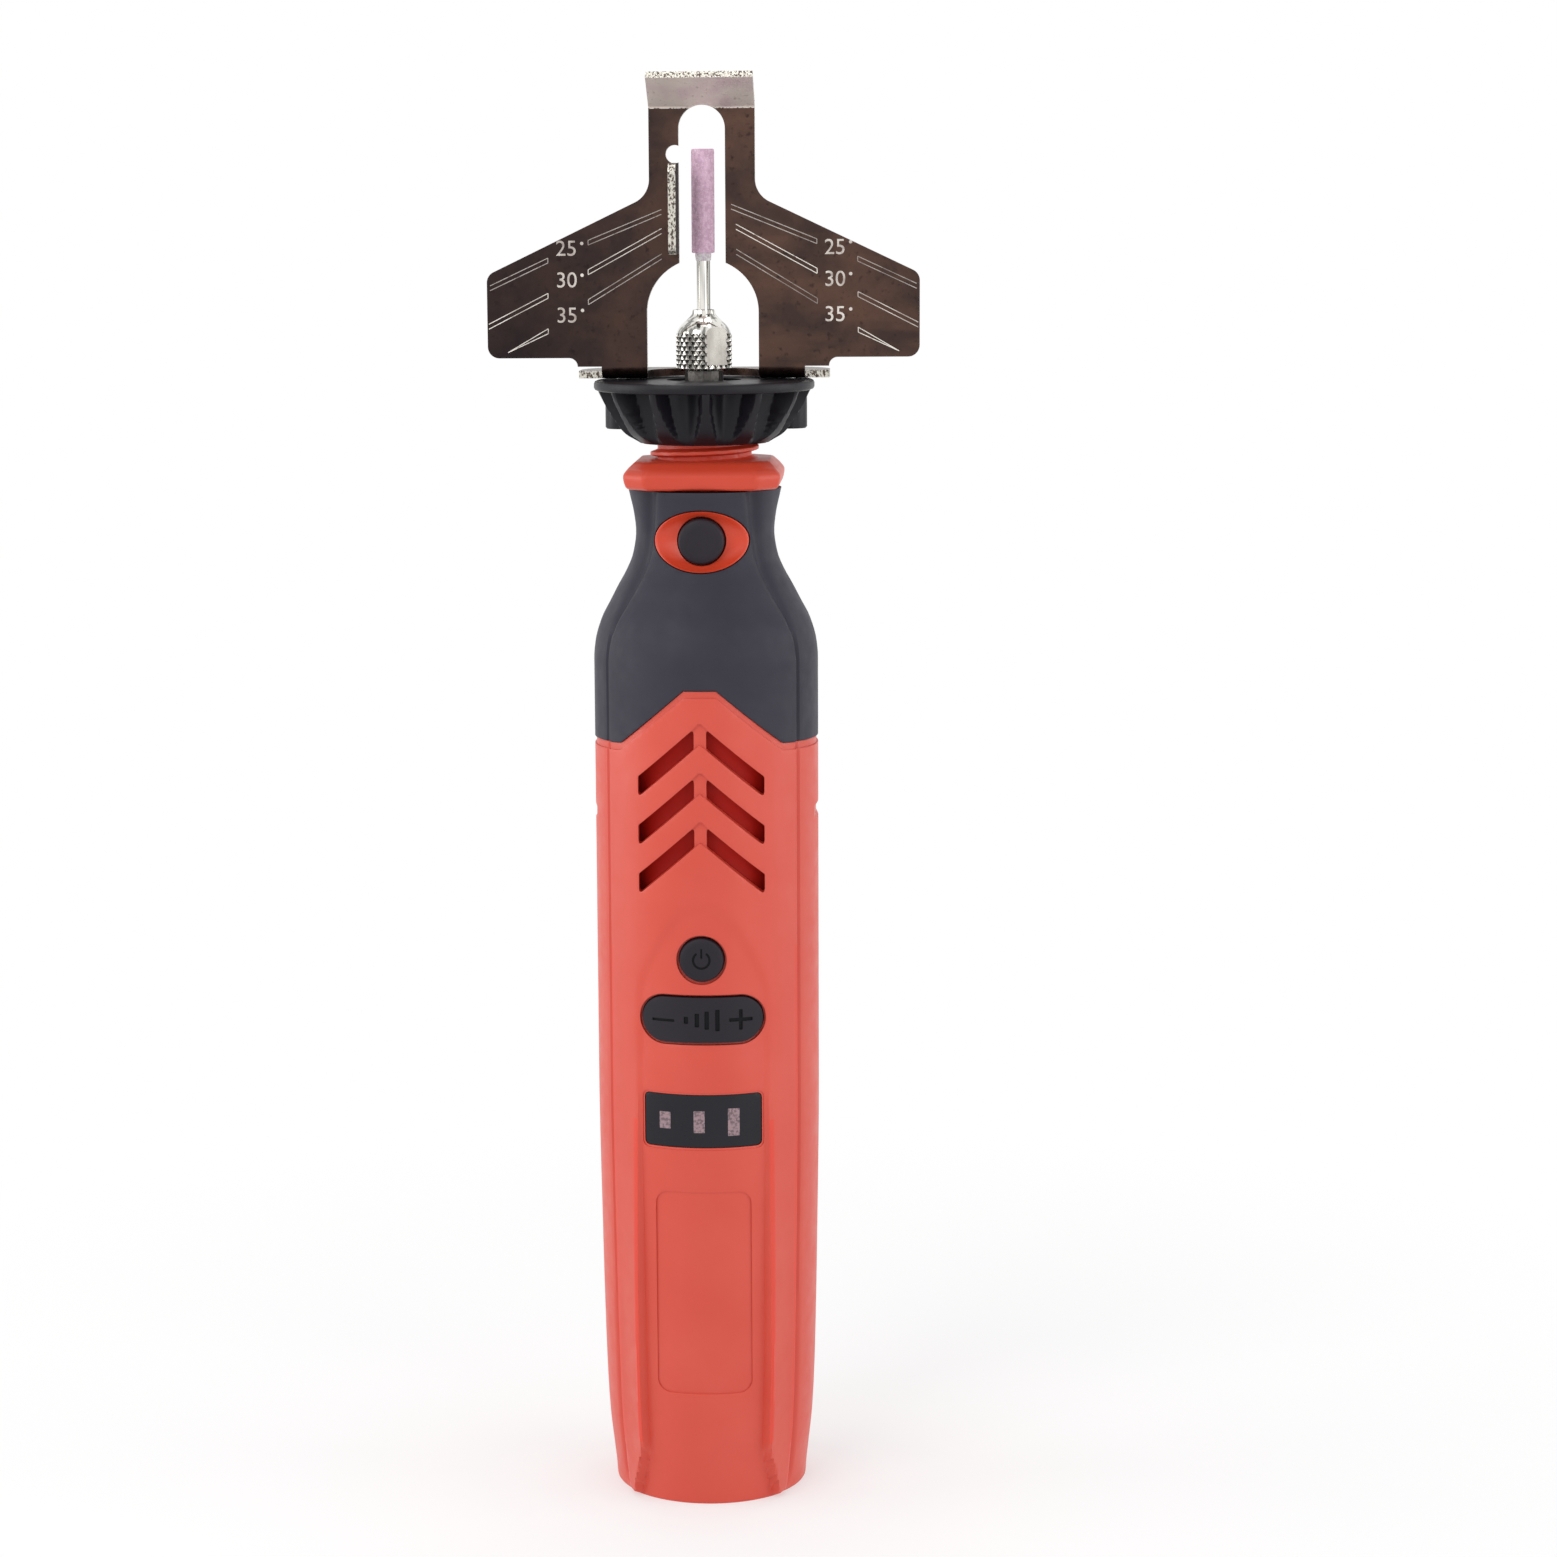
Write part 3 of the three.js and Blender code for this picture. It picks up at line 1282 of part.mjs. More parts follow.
function guideCup() {
  const skirt = loft(cupHeightShares.map((_, level) => cupRing(level)));
  const rim = turned([
    [0, cupCeiling], [cupRimRadius - cupRimEdge, cupCeiling],
    [cupRimRadius, cupCeiling + cupRimEdge], [cupRimRadius, cupTop - cupRimEdge],
    [cupRimRadius - cupRimEdge, cupTop], [0, cupTop],
  ], 28);
  const bosses = sides.map((side) => cupBoss(side));
  const bore = turned(rodProfile(cupBoreRadius, cupBottom - overrun, cupCeiling), 20);
  const hole = turned(rodProfile(cupHoleRadius, cupBottom, cupTop + overrun), 16);
  const screwDepth = guideScrewLength - sheet - seatGap + fitGap * 2;
  const screws = sides.map((side) => turnedAt(
    rodProfile(guideScrewRadius + fitGap, cupTop - screwDepth, cupTop + overrun),
    side * cupBossX, cupBossY, 8,
  ));
  return cut(join(skirt, rim, ...bosses), bore, hole, ...screws);
}

const wingBottom = flangeTop + wingFootRise;
const bendTop = flangeBottom + bendRadius;

// The flat front of the guide plate: wings, neck and foot, in X and Z
function plateOutline() {
  const wingTop = wingBottom + wingSideHeight;
  const slope = Math.tan(radians(wingSlopeDegrees));
  const neckZ = wingTop + (wingHalfWidth - plateNeckHalfWidth) * slope;
  const turn = radians(90 - wingSlopeDegrees);
  const tangent = plateNeckFillet * Math.tan(turn / 2);
  const right = new THREE.Path();
  right.moveTo(0, bendTop);
  right.lineTo(footHalfWidth, bendTop);
  right.lineTo(footHalfWidth, wingBottom - footFillet);
  right.absarc(footHalfWidth + footFillet, wingBottom - footFillet, footFillet, Math.PI, Math.PI / 2, true);
  right.lineTo(wingHalfWidth - wingCorner, wingBottom);
  right.absarc(wingHalfWidth - wingCorner, wingBottom + wingCorner, wingCorner, -Math.PI / 2, 0, false);
  const sharp = wingCorner * Math.tan(turn / 2);
  const roundZ = wingTop - sharp;
  right.lineTo(wingHalfWidth, roundZ);
  right.absarc(wingHalfWidth - wingCorner, roundZ, wingCorner, 0, turn, false);
  right.lineTo(
    plateNeckHalfWidth + tangent * Math.cos(radians(wingSlopeDegrees)),
    neckZ - tangent * Math.sin(radians(wingSlopeDegrees)),
  );
  const filletX = plateNeckHalfWidth + plateNeckFillet;
  right.absarc(filletX, neckZ + tangent, plateNeckFillet, Math.PI + turn, Math.PI, true);
  right.lineTo(plateNeckHalfWidth, lipCrease);
  const half = right.getPoints(3).map(({ x, y }) => [x, y]);
  return shapeOf([...half, ...half.slice(1).reverse().map(([x, y]) => [-x, y])]);
}

// The bent middle strip seen from the side: foot flange, bend, front sheet
function bendProfile() {
  const centreY = bendRadius - plateFrontY;
  const shape = new THREE.Shape();
  shape.moveTo(-plateFrontY, bendTop + overrun);
  shape.lineTo(-plateFrontY, bendTop);
  shape.absarc(centreY, bendTop, bendRadius, Math.PI, Math.PI * 1.5, false);
  shape.lineTo(centreY + overrun, flangeBottom);
  shape.lineTo(centreY + overrun, flangeTop);
  shape.lineTo(centreY, flangeTop);
  shape.absarc(centreY, bendTop, bendRadius - sheet, Math.PI * 1.5, Math.PI, true);
  shape.lineTo(-plateBackY, bendTop + overrun);
  return shape;
}

function lipProfile() {
  const bend = radians(lipBendDegrees);
  const [s, c] = [Math.sin(bend), Math.cos(bend)];
  const tip = [-plateFrontY - lipLength * s, lipCrease + lipLength * c];
  const inner = (sheet * (c - 1)) / s;
  return shapeOf([
    [-plateFrontY, lipCrease - sheet],
    [-plateBackY, lipCrease - sheet],
    [-plateBackY, lipCrease + sheet * s + inner * c],
    [tip[0] + sheet * c, tip[1] + sheet * s],
    tip,
    [-plateFrontY, lipCrease],
  ]);
}

function tabProfile() {
  const top = flangeTop + tabTopRise;
  const bottom = top - tabLength;
  const tip = -plateFrontY - tabReach;
  const shape = new THREE.Shape();
  shape.moveTo(-plateBackY, bottom);
  shape.lineTo(-plateBackY, top);
  shape.lineTo(tip + tabCorner, top);
  shape.absarc(tip + tabCorner, top - tabCorner, tabCorner, Math.PI / 2, Math.PI, false);
  shape.lineTo(tip, bottom + tabCorner);
  shape.absarc(tip + tabCorner, bottom + tabCorner, tabCorner, Math.PI, Math.PI * 1.5, false);
  return shape;
}

// The foot flange that lies on the cup, in X and Y
function flangeOutline() {
  const front = bendRadius - plateFrontY;
  const corner = [footHalfWidth - flangeCorner, flangeDepth - flangeCorner];
  const shape = new THREE.Shape();
  shape.moveTo(-footHalfWidth, front);
  shape.lineTo(footHalfWidth, front);
  shape.lineTo(footHalfWidth, corner[1]);
  shape.absarc(...corner, flangeCorner, 0, Math.PI / 2, false);
  shape.lineTo(-corner[0], flangeDepth);
  shape.absarc(-corner[0], corner[1], flangeCorner, Math.PI / 2, Math.PI, false);
  return shape;
}

// The slot above and the bottle-shaped window below it, in X and Z
function slotOutline() {
  const slotTop = lipCrease + slotAboveCrease;
  const archZ = flangeTop + bottleArchRise;
  const meet = Math.acos(slotHalfWidth / bottleHalfWidth);
  const shape = new THREE.Shape();
  shape.moveTo(-bottleHalfWidth, flangeBottom - overrun);
  shape.lineTo(bottleHalfWidth, flangeBottom - overrun);
  shape.lineTo(bottleHalfWidth, archZ);
  shape.absellipse(0, archZ, bottleHalfWidth, bottleArchHeight, 0, meet, false, 0);
  shape.lineTo(slotHalfWidth, slotTop - slotHalfWidth);
  shape.absarc(0, slotTop - slotHalfWidth, slotHalfWidth, 0, Math.PI, false);
  shape.absellipse(0, archZ, bottleHalfWidth, bottleArchHeight, Math.PI - meet, Math.PI, false, 0);
  return shape;
}

function guidePlate() {
  const front = frontPrism(plateOutline(), -plateFrontY, -plateBackY);
  const bend = sidePrism(bendProfile(), -bendHalfWidth, bendHalfWidth);
  const lip = sidePrism(lipProfile(), -plateNeckHalfWidth, plateNeckHalfWidth);
  const flange = topPrism(flangeOutline(), flangeBottom, flangeTop, 5);
  const slot = frontPrism(slotOutline(), -far, bendRadius - plateFrontY + overrun / 2, 6);
  const notch = turned(rodProfile(notchRadius, flangeBottom - overrun, bendTop), 20);
  const tabTop = flangeTop + tabTopRise;
  const relief = turnedFront(
    rodProfile(reliefRadius, 0, far), -slotHalfWidth - sheet / 2, tabTop + reliefRadius, 12,
  );
  const holes = sides.map((side) => turnedAt(
    rodProfile(guideScrewRadius + fitGap, flangeBottom - overrun, flangeTop + overrun),
    side * cupBossX, cupBossY, 12,
  ));
  const bent = cut(join(front, bend, lip, flange), slot, notch, ...holes);
  const tab = sidePrism(tabProfile(), -slotHalfWidth - sheet, -slotHalfWidth);
  return cut(join(bent, tab), relief);
}

function guideScrew(side) {
  const under = flangeTop + thinGap;
  return turnedAt([
    [0, under - guideScrewLength],
    [guideScrewRadius, under - guideScrewLength],
    [guideScrewRadius, under],
    [guideScrewHeadRadius, under],
    [guideScrewHeadRadius, under + guideScrewHeadHeight / 2],
    [guideScrewCrownRadius, under + guideScrewHeadHeight],
    [0, under + guideScrewHeadHeight],
  ], side * cupBossX, cupBossY, 10);
}

function caseScrew({ x, z }) {
  const under = screwSeatY + thinGap;
  return turnedFront([
    [0, screwReach],
    [caseScrewRadius, screwReach],
    [caseScrewRadius, -under],
    [caseScrewHeadRadius, -under],
    [caseScrewHeadRadius, -under - caseScrewHeadHeight / 2],
    [caseScrewCrownRadius, -under - caseScrewHeadHeight],
    [0, -under - caseScrewHeadHeight],
  ], x, z, 8);
}

// Leads from the board to the motor, and from the cell's holder to the board
function motorLead(side) {
  const backY = -boardFront + boardThickness + seatGap + motorLeadRadius;
  const x = side * boardHalfWidth / 2;
  const end = motorBottom - seatGap * 2;
  return lead([
    [x, backY, middleScrewHeight - bossRadius],
    [x, backY, middleScrewHeight],
    [x, backY / 2, end - overrun],
    [x, backY / 4, end],
  ], motorLeadRadius);
}

function batteryLead(side) {
  const backY = -boardFront + boardThickness + seatGap + batteryLeadRadius;
  const x = side * cellNubRadius;
  const start = holderTop + seatGap;
  const y = cellCentreY - overrun / 2;
  return lead([
    [x, y, start], [x, y, start + overrun], [x, backY, start + overrun * 3], [x, backY, start + overrun * 4],
  ], batteryLeadRadius);
}

const group = new THREE.Group();

function piece(name, body, material) {
  const mesh = new THREE.Mesh(geometryOf(body), material);
  mesh.name = name;
  group.add(mesh);
}

const shell = redShell();
const skin = rubberSkin();
piece('housing_front', housingFront(shell), redPlastic());
piece('housing_back', backHalf(shell), redPlastic());
piece('grip_front', frontHalf(skin), rubberGrey());
piece('grip_back', backHalf(skin), rubberGrey());
caseScrews.forEach((screw) => piece(screw.name, caseScrew(screw), steel()));

piece('lock_bezel', lockBezel(), orangePlastic());
piece('lock_button', lockButton(), buttonPlastic());
piece('lock_pin', lockPin(), steel());
piece('lock_clip', lockClip(), steel());
piece('lock_spring', lockSpring(), steel());

piece('power_button', powerButton(), buttonPlastic());
piece('speed_rocker', speedRocker(), buttonPlastic());
piece('rocker_pin', rockerPinForm(rockerPinRadius, -lugThickness / 4 - fitGap), steel());
piece('charge_window', chargeWindow(), blackPlastic());

const boardSpan = [-boardFront, -boardFront + boardThickness, boardBottom, boardTop];
piece('circuit_board', block(-boardHalfWidth, boardHalfWidth, ...boardSpan), boardGreen());
piece('switch_power', pushSwitch(0, powerHeight), blackPlastic());
piece('switch_minus', pushSwitch(-rockerSwitchX, rockerHeight), blackPlastic());
piece('switch_plus', pushSwitch(rockerSwitchX, rockerHeight), blackPlastic());
['left', 'middle', 'right'].forEach((place, i) => {
  piece(`charge_light_${place}`, chargeLight((i - 1) * lightX), lightGlass());
});
piece('charge_socket', chargeSocket(), steel());
piece('battery_cell', batteryCell(), cellSleeve());
piece('battery_holder', batteryHolder(), blackPlastic());

piece('motor_can', motorCan(), steel());
piece('motor_end_bell', motorEndBell(), blackPlastic());
piece('motor_rotor', motorRotor(), copper());
sides.forEach((side) => {
  const wire = side < 0 ? redWire : blackWire;
  piece(`battery_lead_${sideName(side)}`, batteryLead(side), wire());
  piece(`motor_lead_${sideName(side)}`, motorLead(side), wire());
  piece(`motor_magnet_${sideName(side)}`, motorMagnet(side), blackPlastic());
  piece(`motor_screw_${side < 0 ? 'front' : 'back'}`, motorScrew(side), steel());
});
const shaftSpan = [motorBottom + seatGap, spindleBottom - seatGap];
piece('motor_shaft', turned(rodProfile(motorShaftRadius, ...shaftSpan), 12), steel());
piece('cooling_fan', coolingFan(), blackPlastic());
piece('coupling', shaftCoupling(), steel());

piece('threaded_nose', threadedNose(), redPlastic());
const rear = bearingRaces(rearBearingBottom);
const front = bearingRaces(frontBearingBottom);
piece('rear_bearing_outer', rear.outer, steel());
piece('rear_bearing_inner', rear.inner, steel());
piece('front_bearing_outer', front.outer, steel());
piece('front_bearing_inner', front.inner, steel());
piece('spindle', spindle(), nickel());
piece('collet', collet(), steel());
piece('collet_nut', colletNut(), nickel());
piece('stone_shank', stoneShank(), nickel());
piece('grinding_stone', grindingStone(), pinkStone());

piece('guide_cup', guideCup(), blackPlastic());
piece('guide_plate', guidePlate(), darkSheet());
sides.forEach((side) => piece(`guide_screw_${sideName(side)}`, guideScrew(side), steel()));

export default group;
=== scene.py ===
"""Looks of a cordless chainsaw sharpener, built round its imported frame.

Metres. +Z runs along the tool from its foot to the guide, -Y is the front with the buttons and
+X is to the right. Sizes are written in millimetres and turned into metres by MM.
"""
import json
import random
from math import acos, atan2, cos, degrees, hypot, pi, sin, sqrt, tan

import bmesh
import bpy
import numpy as np
from mathutils import Matrix, Vector


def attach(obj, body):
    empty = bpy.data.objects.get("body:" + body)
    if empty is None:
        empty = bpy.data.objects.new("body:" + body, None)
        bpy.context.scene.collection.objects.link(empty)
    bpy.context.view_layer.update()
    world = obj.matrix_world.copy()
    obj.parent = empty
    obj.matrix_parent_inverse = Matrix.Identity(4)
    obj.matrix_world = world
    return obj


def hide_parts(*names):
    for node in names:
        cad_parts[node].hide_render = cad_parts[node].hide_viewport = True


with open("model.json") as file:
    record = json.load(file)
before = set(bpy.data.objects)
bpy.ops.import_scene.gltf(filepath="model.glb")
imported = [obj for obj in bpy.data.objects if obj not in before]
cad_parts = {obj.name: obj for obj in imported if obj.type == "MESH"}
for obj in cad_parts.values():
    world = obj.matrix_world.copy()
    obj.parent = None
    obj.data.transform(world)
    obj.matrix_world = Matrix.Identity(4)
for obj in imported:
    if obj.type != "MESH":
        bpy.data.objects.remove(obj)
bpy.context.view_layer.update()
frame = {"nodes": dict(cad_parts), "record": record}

MM = 0.001
SCENE = bpy.context.scene
FINISHES = {}

# The photograph's camera
PHOTO_SIDE = 1557
FOCAL_PIXELS = 3600
CAMERA_DISTANCE = 636
CAMERA_HEIGHT = 127.56
CAMERA_AZIMUTH = 3.5
CAMERA_ELEVATION = 9
CAMERA_ROLL = 0.41
AXIS_PIXEL = 707
SENSOR = 36

# Silhouette of the body: heights and radii
BODY = [
    (0, 16.9), (0.25, 17.05), (0.7, 17.1), (2.4, 17.22), (6, 17.62), (13, 18.35), (22.7, 18.8),
    (44.8, 19.28), (74.7, 19.65), (110, 19.65), (149.4, 19.65), (152.2, 19.4), (156.4, 18.2),
    (159.2, 16.75), (162.1, 15.25), (164.9, 13.7), (167.7, 12.6), (171.5, 12.07),
    (174.7, 12.4), (177.5, 13), (179, 13.35),
]
# Crease between the proud front panel and the sides: heights and degrees from the front
CREASE = [
    (0, 50), (2.7, 54), (6, 55.3), (149.4, 55.3), (152.2, 55), (156.4, 53), (159.2, 50.5),
    (162.1, 47.5), (164.9, 45.5), (167.7, 44.5), (171.5, 43), (174.7, 40), (179, 35),
]
PANEL_PROUD = 0.35
CREASE_SLOPE = 0.55
CREASE_GROOVE = (0.55, 0.85)
CREASE_GROOVE_WIDTH = (0.42, 1.4)
RAIL_DEGREES = 34.5
RAIL_HOOK = 8
RAIL_HOOK_TOP = 11
RAIL_TOP = 86
RAIL_FULL = 24
RAIL_END = 1
RAIL_HEIGHT = 1.75
RAIL_INNER = 0.5
RAIL_OUTER = 5.6
RAIL_FALL = 1.8
# Where the painted crest highlight lies: across the rail and the crease in millimetres from each, and its
# lowest and highest heights
CREST_HIGHLIGHT_RAIL = (-0.15, 0.75)
CREST_HIGHLIGHT_CREASE = (-0.9, -0.1)
CREST_HIGHLIGHT_FOOT = 1
CREST_HIGHLIGHT_TOP = 100
GRIP_TOP = 179
WALL = 2
RUBBER = 1.5
NECK_CORE = (1.6, 128, 178.9)
RING_POINTS = 232
RING_STEP = 1

# Edge of the rubber grip, as X and Z on the front
CHEVRON = [(-30, 134.9), (-14, 136.1), (-2.8, 145.8), (2.8, 145.8), (14, 136.1), (30, 134.9)]
CHEVRON_GAP = 0.15
BEAD_DROP = 1.35
BEAD_DEPTH = 0.3
SEAM = 0.12
OUTSIDE = 30
INSIDE = 8

# Vents
VENT_TOPS = [139.25, 130.75, 122.25]
VENT_INNER = 1.05
VENT_OUTER = 10.9
VENT_HEIGHT = 3.65
VENT_DROP = 8.7
VENT_CORNER = 0.5
VENT_RECESS = 0.5

# Controls
LOCK_HEIGHT = 170.6
LOCK_HOLE = 4.25
BEZEL_HALF = (8.1, 5.2)
POWER_HEIGHT = 98.9
POWER_RADIUS = 4
ROCKER_HEIGHT = 88.3
ROCKER_HALF = (10.6, 4.1)
BUTTON_GAP = 0.14
WINDOW_HEIGHT = 70.3
WINDOW_HALF = (10.1, 4.65)
LIGHT_BARS = ((-6.6, 0.97, 1.5), (-0.6, 0.97, 1.95), (5.4, 1, 2.45))
LABEL_HEIGHT = 39.2
LABEL_HALF = (8.35, 18.4)
LABEL_CORNER = 2.3
LABEL_DEPTH = 0.22
ARCH_PEAK = 108.3
ARCH_HALF = 11.1
ARCH_RISE = 14.5
ARCH_DEPTH = 0.34
ARCH_FOOT = (79, 85)

# Nose, cup, nut and stone
COLLAR_BOTTOM = 179.3
COLLAR_TOP = 184.1
NOSE_TOP = 195.7
THREAD_ROOT = 8.2
THREAD_CREST = 9.5
THREAD_PITCH = 2.117
CUP_BOTTOM = 186.9
CUP_TOP = 197.7
CUP_RIM = 19.15
CUP_RIBS = 12
CUP_TURN = 4.3
NUT_BOTTOM = 199.3
NUT_RADIUS = 4.875
NUT_FLAT_HALF = 4.12
NUT_FLAT_DEGREES = 36
STONE_BOTTOM = 219.45
STONE_TOP = 237.15

# Guide plate
SHEET = 1.3
PLATE_FRONT = 2.6
FLANGE_BOTTOM = 198
FLANGE_TOP = 199.3
BEND_RADIUS = 2.1
WING_HALF = 37.35
WING_BOTTOM = 201.6
WING_SIDE = 14.25
WING_SLOPE = 25.5
WING_CORNER = 2
FOOT_HALF = 21.75
FOOT_FILLET = 1.5
BEND_HALF = 17.6
NECK_HALF = 9.1
NECK_FILLET = 4.3
LIP_CREASE = 244.2
LIP_LENGTH = 8.2
LIP_BEND = 55
SLOT_HALF = 4
BOTTLE_HALF = 9.65
BOTTLE_ARCH = 9.2
BOTTLE_CENTRE = 209.4
NOTCH_RADIUS = 9.85
FLANGE_DEPTH = 14
FLANGE_CORNER = 9.5
TAB_TOP = 234.7
TAB_LENGTH = 15.4
TAB_REACH = 8
RELIEF_RADIUS = 1.55

# Screws: places of the shells' screws on one side, and of the guide's
CASE_SCREWS = {"bottom": (13, 7.5), "middle": (13, 97), "top": (11.6, 148.9)}
WELL_RADIUS = 2.7
WELL_FLOOR = 8.5
GUIDE_SCREW = (14.6, 5)

# Studio: name, place, height aimed at, size and power of each lamp
LAMPS = (
    ("key", (-450, -700, 620), 120, (500, 700), 3.1),
    ("fill", (560, -620, 300), 120, (400, 700), 1.3),
    ("left", (-800, -60, 260), 120, (500, 600), 2.4),
    ("right", (800, -60, 260), 120, (500, 600), 2),
    ("top", (0, 120, 900), 150, (500, 500), 2.4),
)
WHITE = (1, 1, 1, 1)
WORLD_LIGHT = 0.46
FLOOR_HALF = 3000
FLOOR_FADE = (60, 260, 0.45)

# Moulded finishes: colour, its lighter clouds, roughness, grain, its height, specular
PLASTICS = {
    "red_plastic": ((0.6, 0.062, 0.036), (0.64, 0.082, 0.052), 0.42),
    # A painted highlight: the fuller, glossier red laid on the crests of the rails and creases
    "crest_highlight_plastic": ((0.66, 0.042, 0.018), (0.7, 0.055, 0.026), 0.34, 0.25, 0.004),
    "nose_plastic": ((0.56, 0.05, 0.022), (0.6, 0.064, 0.032), 0.4, 0.25, 0.005, 0.4),
    "inside_red": ((0.5, 0.016, 0.01), (0.56, 0.026, 0.016), 0.5, 0.3, 0.006, 0.12),
    "orange_plastic": ((0.6, 0.05, 0.019), (0.66, 0.064, 0.026), 0.36, 0.2, 0.003, 0.4),
    "rubber": ((0.024, 0.022, 0.034), (0.036, 0.033, 0.046), 0.55, 0.3, 0.01, 0.26),
    "black_plastic": ((0.007, 0.006, 0.009), (0.012, 0.01, 0.014), 0.4, 0.35, 0.008, 0.22),
    "button_plastic": ((0.013, 0.01, 0.015), (0.02, 0.015, 0.022), 0.52, 0.3, 0.006, 0.25),
    "symbol_dark": ((0.005, 0.006, 0.007), (0.009, 0.01, 0.01), 0.6, 0.3, 0.004, 0.12),
    "lens": ((0.01, 0.01, 0.014), (0.015, 0.014, 0.019), 0.28, 0.4, 0.002, 0.25),
    "board": ((0.012, 0.1, 0.04), (0.02, 0.14, 0.06), 0.45),
    "cell": ((0.04, 0.14, 0.3), (0.05, 0.17, 0.34), 0.35),
    "red_wire": ((0.45, 0.02, 0.02), (0.5, 0.03, 0.03), 0.45),
    "black_wire": ((0.01, 0.01, 0.01), (0.02, 0.02, 0.02), 0.45),
    # Painted shade: a dark, dull copy of the sheet for the tab's inner face
    "tab_shade_sheet": ((0.022, 0.016, 0.015), (0.034, 0.025, 0.023), 0.75, 0.4, 0.01, 0.1),
}


# Other finishes: colour, roughness, metallic, clouds, uneven gloss and grain. A cloud is size,
# detail, where it starts and is full, colour, share and stretch.
def worn(color):
    return [(6, 3, 0.44, 0.64, color, 0.7), (0.9, 4, 0.56, 0.68, color, 0.7)]


def plain_steel(color, roughness):
    darker = tuple(0.8 * c for c in color)
    return (color, roughness, 1, [(4, 4, 0.45, 0.7, darker, 0.5)],
            (1, roughness - 0.06, roughness + 0.08), (0.3, 0.003, 2))


SURFACES = {
    "light_bar": ((0.3, 0.2, 0.22), 0.6, 0,
        [(0.45, 2, 0.45, 0.6, (0.13, 0.09, 0.1))], (), (0.3, 0.02)),
    # A painted reflection: a pale pinkish sheen for the bent lip's face, on the same steel as the plate
    "lip_reflection_sheet": ((0.56, 0.48, 0.44), 0.34, 0.3,
        [(5, 4, 0.45, 0.65, (0.46, 0.32, 0.36), 0.6),
         (0.7, 3, 0.62, 0.74, (0.2, 0.15, 0.14), 0.5)], (0.8, 0.28, 0.42), (0.6, 0.004)),
    "sheared_edge": ((0.6, 0.57, 0.51), 0.32, 0.9,
        [(0.3, 2, 0.48, 0.6, (0.08, 0.06, 0.05), 1, (1, 1, 0.6))], (), (0.25, 0.05)),
    "bright_mark": ((0.74, 0.7, 0.64), 0.5, 0.4, worn((0.24, 0.19, 0.17))),
    "faint_mark": ((0.42, 0.38, 0.35), 0.5, 0.4, worn((0.13, 0.1, 0.09))),
    # Painted reflections: dark streaks along Z on the bright nickel of the shank and the nut
    "nickel_painted_reflections": ((0.82, 0.8, 0.75), 0.08, 1,
        [(1.15, 2, 0.5, 0.6, (0.15, 0.145, 0.13), 0.85, (1, 1, 0.03))],
        (1.5, 0.05, 0.14), (0.4, 0.0015)),
    # Dark nickel: patina in the knurl's grooves, and painted shade on the spindle under the nut
    "groove_patina_and_shade_nickel": ((0.115, 0.108, 0.1), 0.36, 0.9,
        [(0.5, 3, 0.45, 0.65, (0.045, 0.04, 0.038), 0.6)]),
    # Satin nickel for the nut's flats; its dark streaks along Z are painted reflections
    "satin_nickel_painted_streaks": ((0.37, 0.35, 0.32), 0.32, 1,
        [(2.5, 3, 0.42, 0.62, (0.24, 0.225, 0.205), 0.8, (1, 1, 0.3))], (0.8, 0.24, 0.36, 3)),
    "pink_stone": ((0.58, 0.36, 0.49), 0.95, 0,
        [(0.7, 4, 0.42, 0.6, (0.72, 0.48, 0.62)),
         (0.22, 2, 0.56, 0.7, (0.88, 0.72, 0.8), 0.8)], (), (0.22, 0.09)),
    "cement": ((0.72, 0.68, 0.7), 0.9, 0,
        [(0.5, 3, 0.45, 0.65, (0.55, 0.48, 0.52))], (), (0.3, 0.05)),
    "steel": plain_steel((0.42, 0.42, 0.43), 0.32),
    "can": plain_steel((0.36, 0.36, 0.37), 0.35),
    "rotor": plain_steel((0.45, 0.2, 0.08), 0.35),
}


def radians(degrees):
    return degrees * pi / 180


def smoothstep(low, high, x):
    t = np.clip((x - low) / (high - low), 0, 1)
    return t * t * (3 - 2 * t)


def monotone(points):
    """A smooth curve through the points that never overshoots them."""
    x, y = np.array(points, float).T
    h = np.diff(x)
    slope = np.diff(y) / h
    tangent = np.zeros(len(x))
    tangent[0], tangent[-1] = slope[0], slope[-1]
    for i in range(1, len(x) - 1):
        if slope[i - 1] * slope[i] > 0:
            a, b = 2 * h[i] + h[i - 1], h[i] + 2 * h[i - 1]
            tangent[i] = (a + b) / (a / slope[i - 1] + b / slope[i])

    def at(value):
        value = np.clip(value, x[0], x[-1])
        k = np.clip(np.searchsorted(x, value) - 1, 0, len(h) - 1)
        t = (value - x[k]) / h[k]
        return (
            (2 * t**3 - 3 * t**2 + 1) * y[k] + (t**3 - 2 * t**2 + t) * h[k] * tangent[k]
            + (3 * t**2 - 2 * t**3) * y[k + 1] + (t**3 - t**2) * h[k] * tangent[k + 1]
        )

    return at


body_radius = monotone(BODY)
crease_degrees = monotone(CREASE)


# Mesh making

def add_object(name, data):
    obj = bpy.data.objects.new(name, data)
    SCENE.collection.objects.link(obj)
    return obj


def mesh_object(name, vertices, faces):
    """A mesh object from points in millimetres."""
    mesh = bpy.data.meshes.new(name)
    mesh.from_pydata([tuple(float(c) * MM for c in v) for v in vertices], [], faces)
    mesh.validate()
    return outward(add_object(name, mesh))


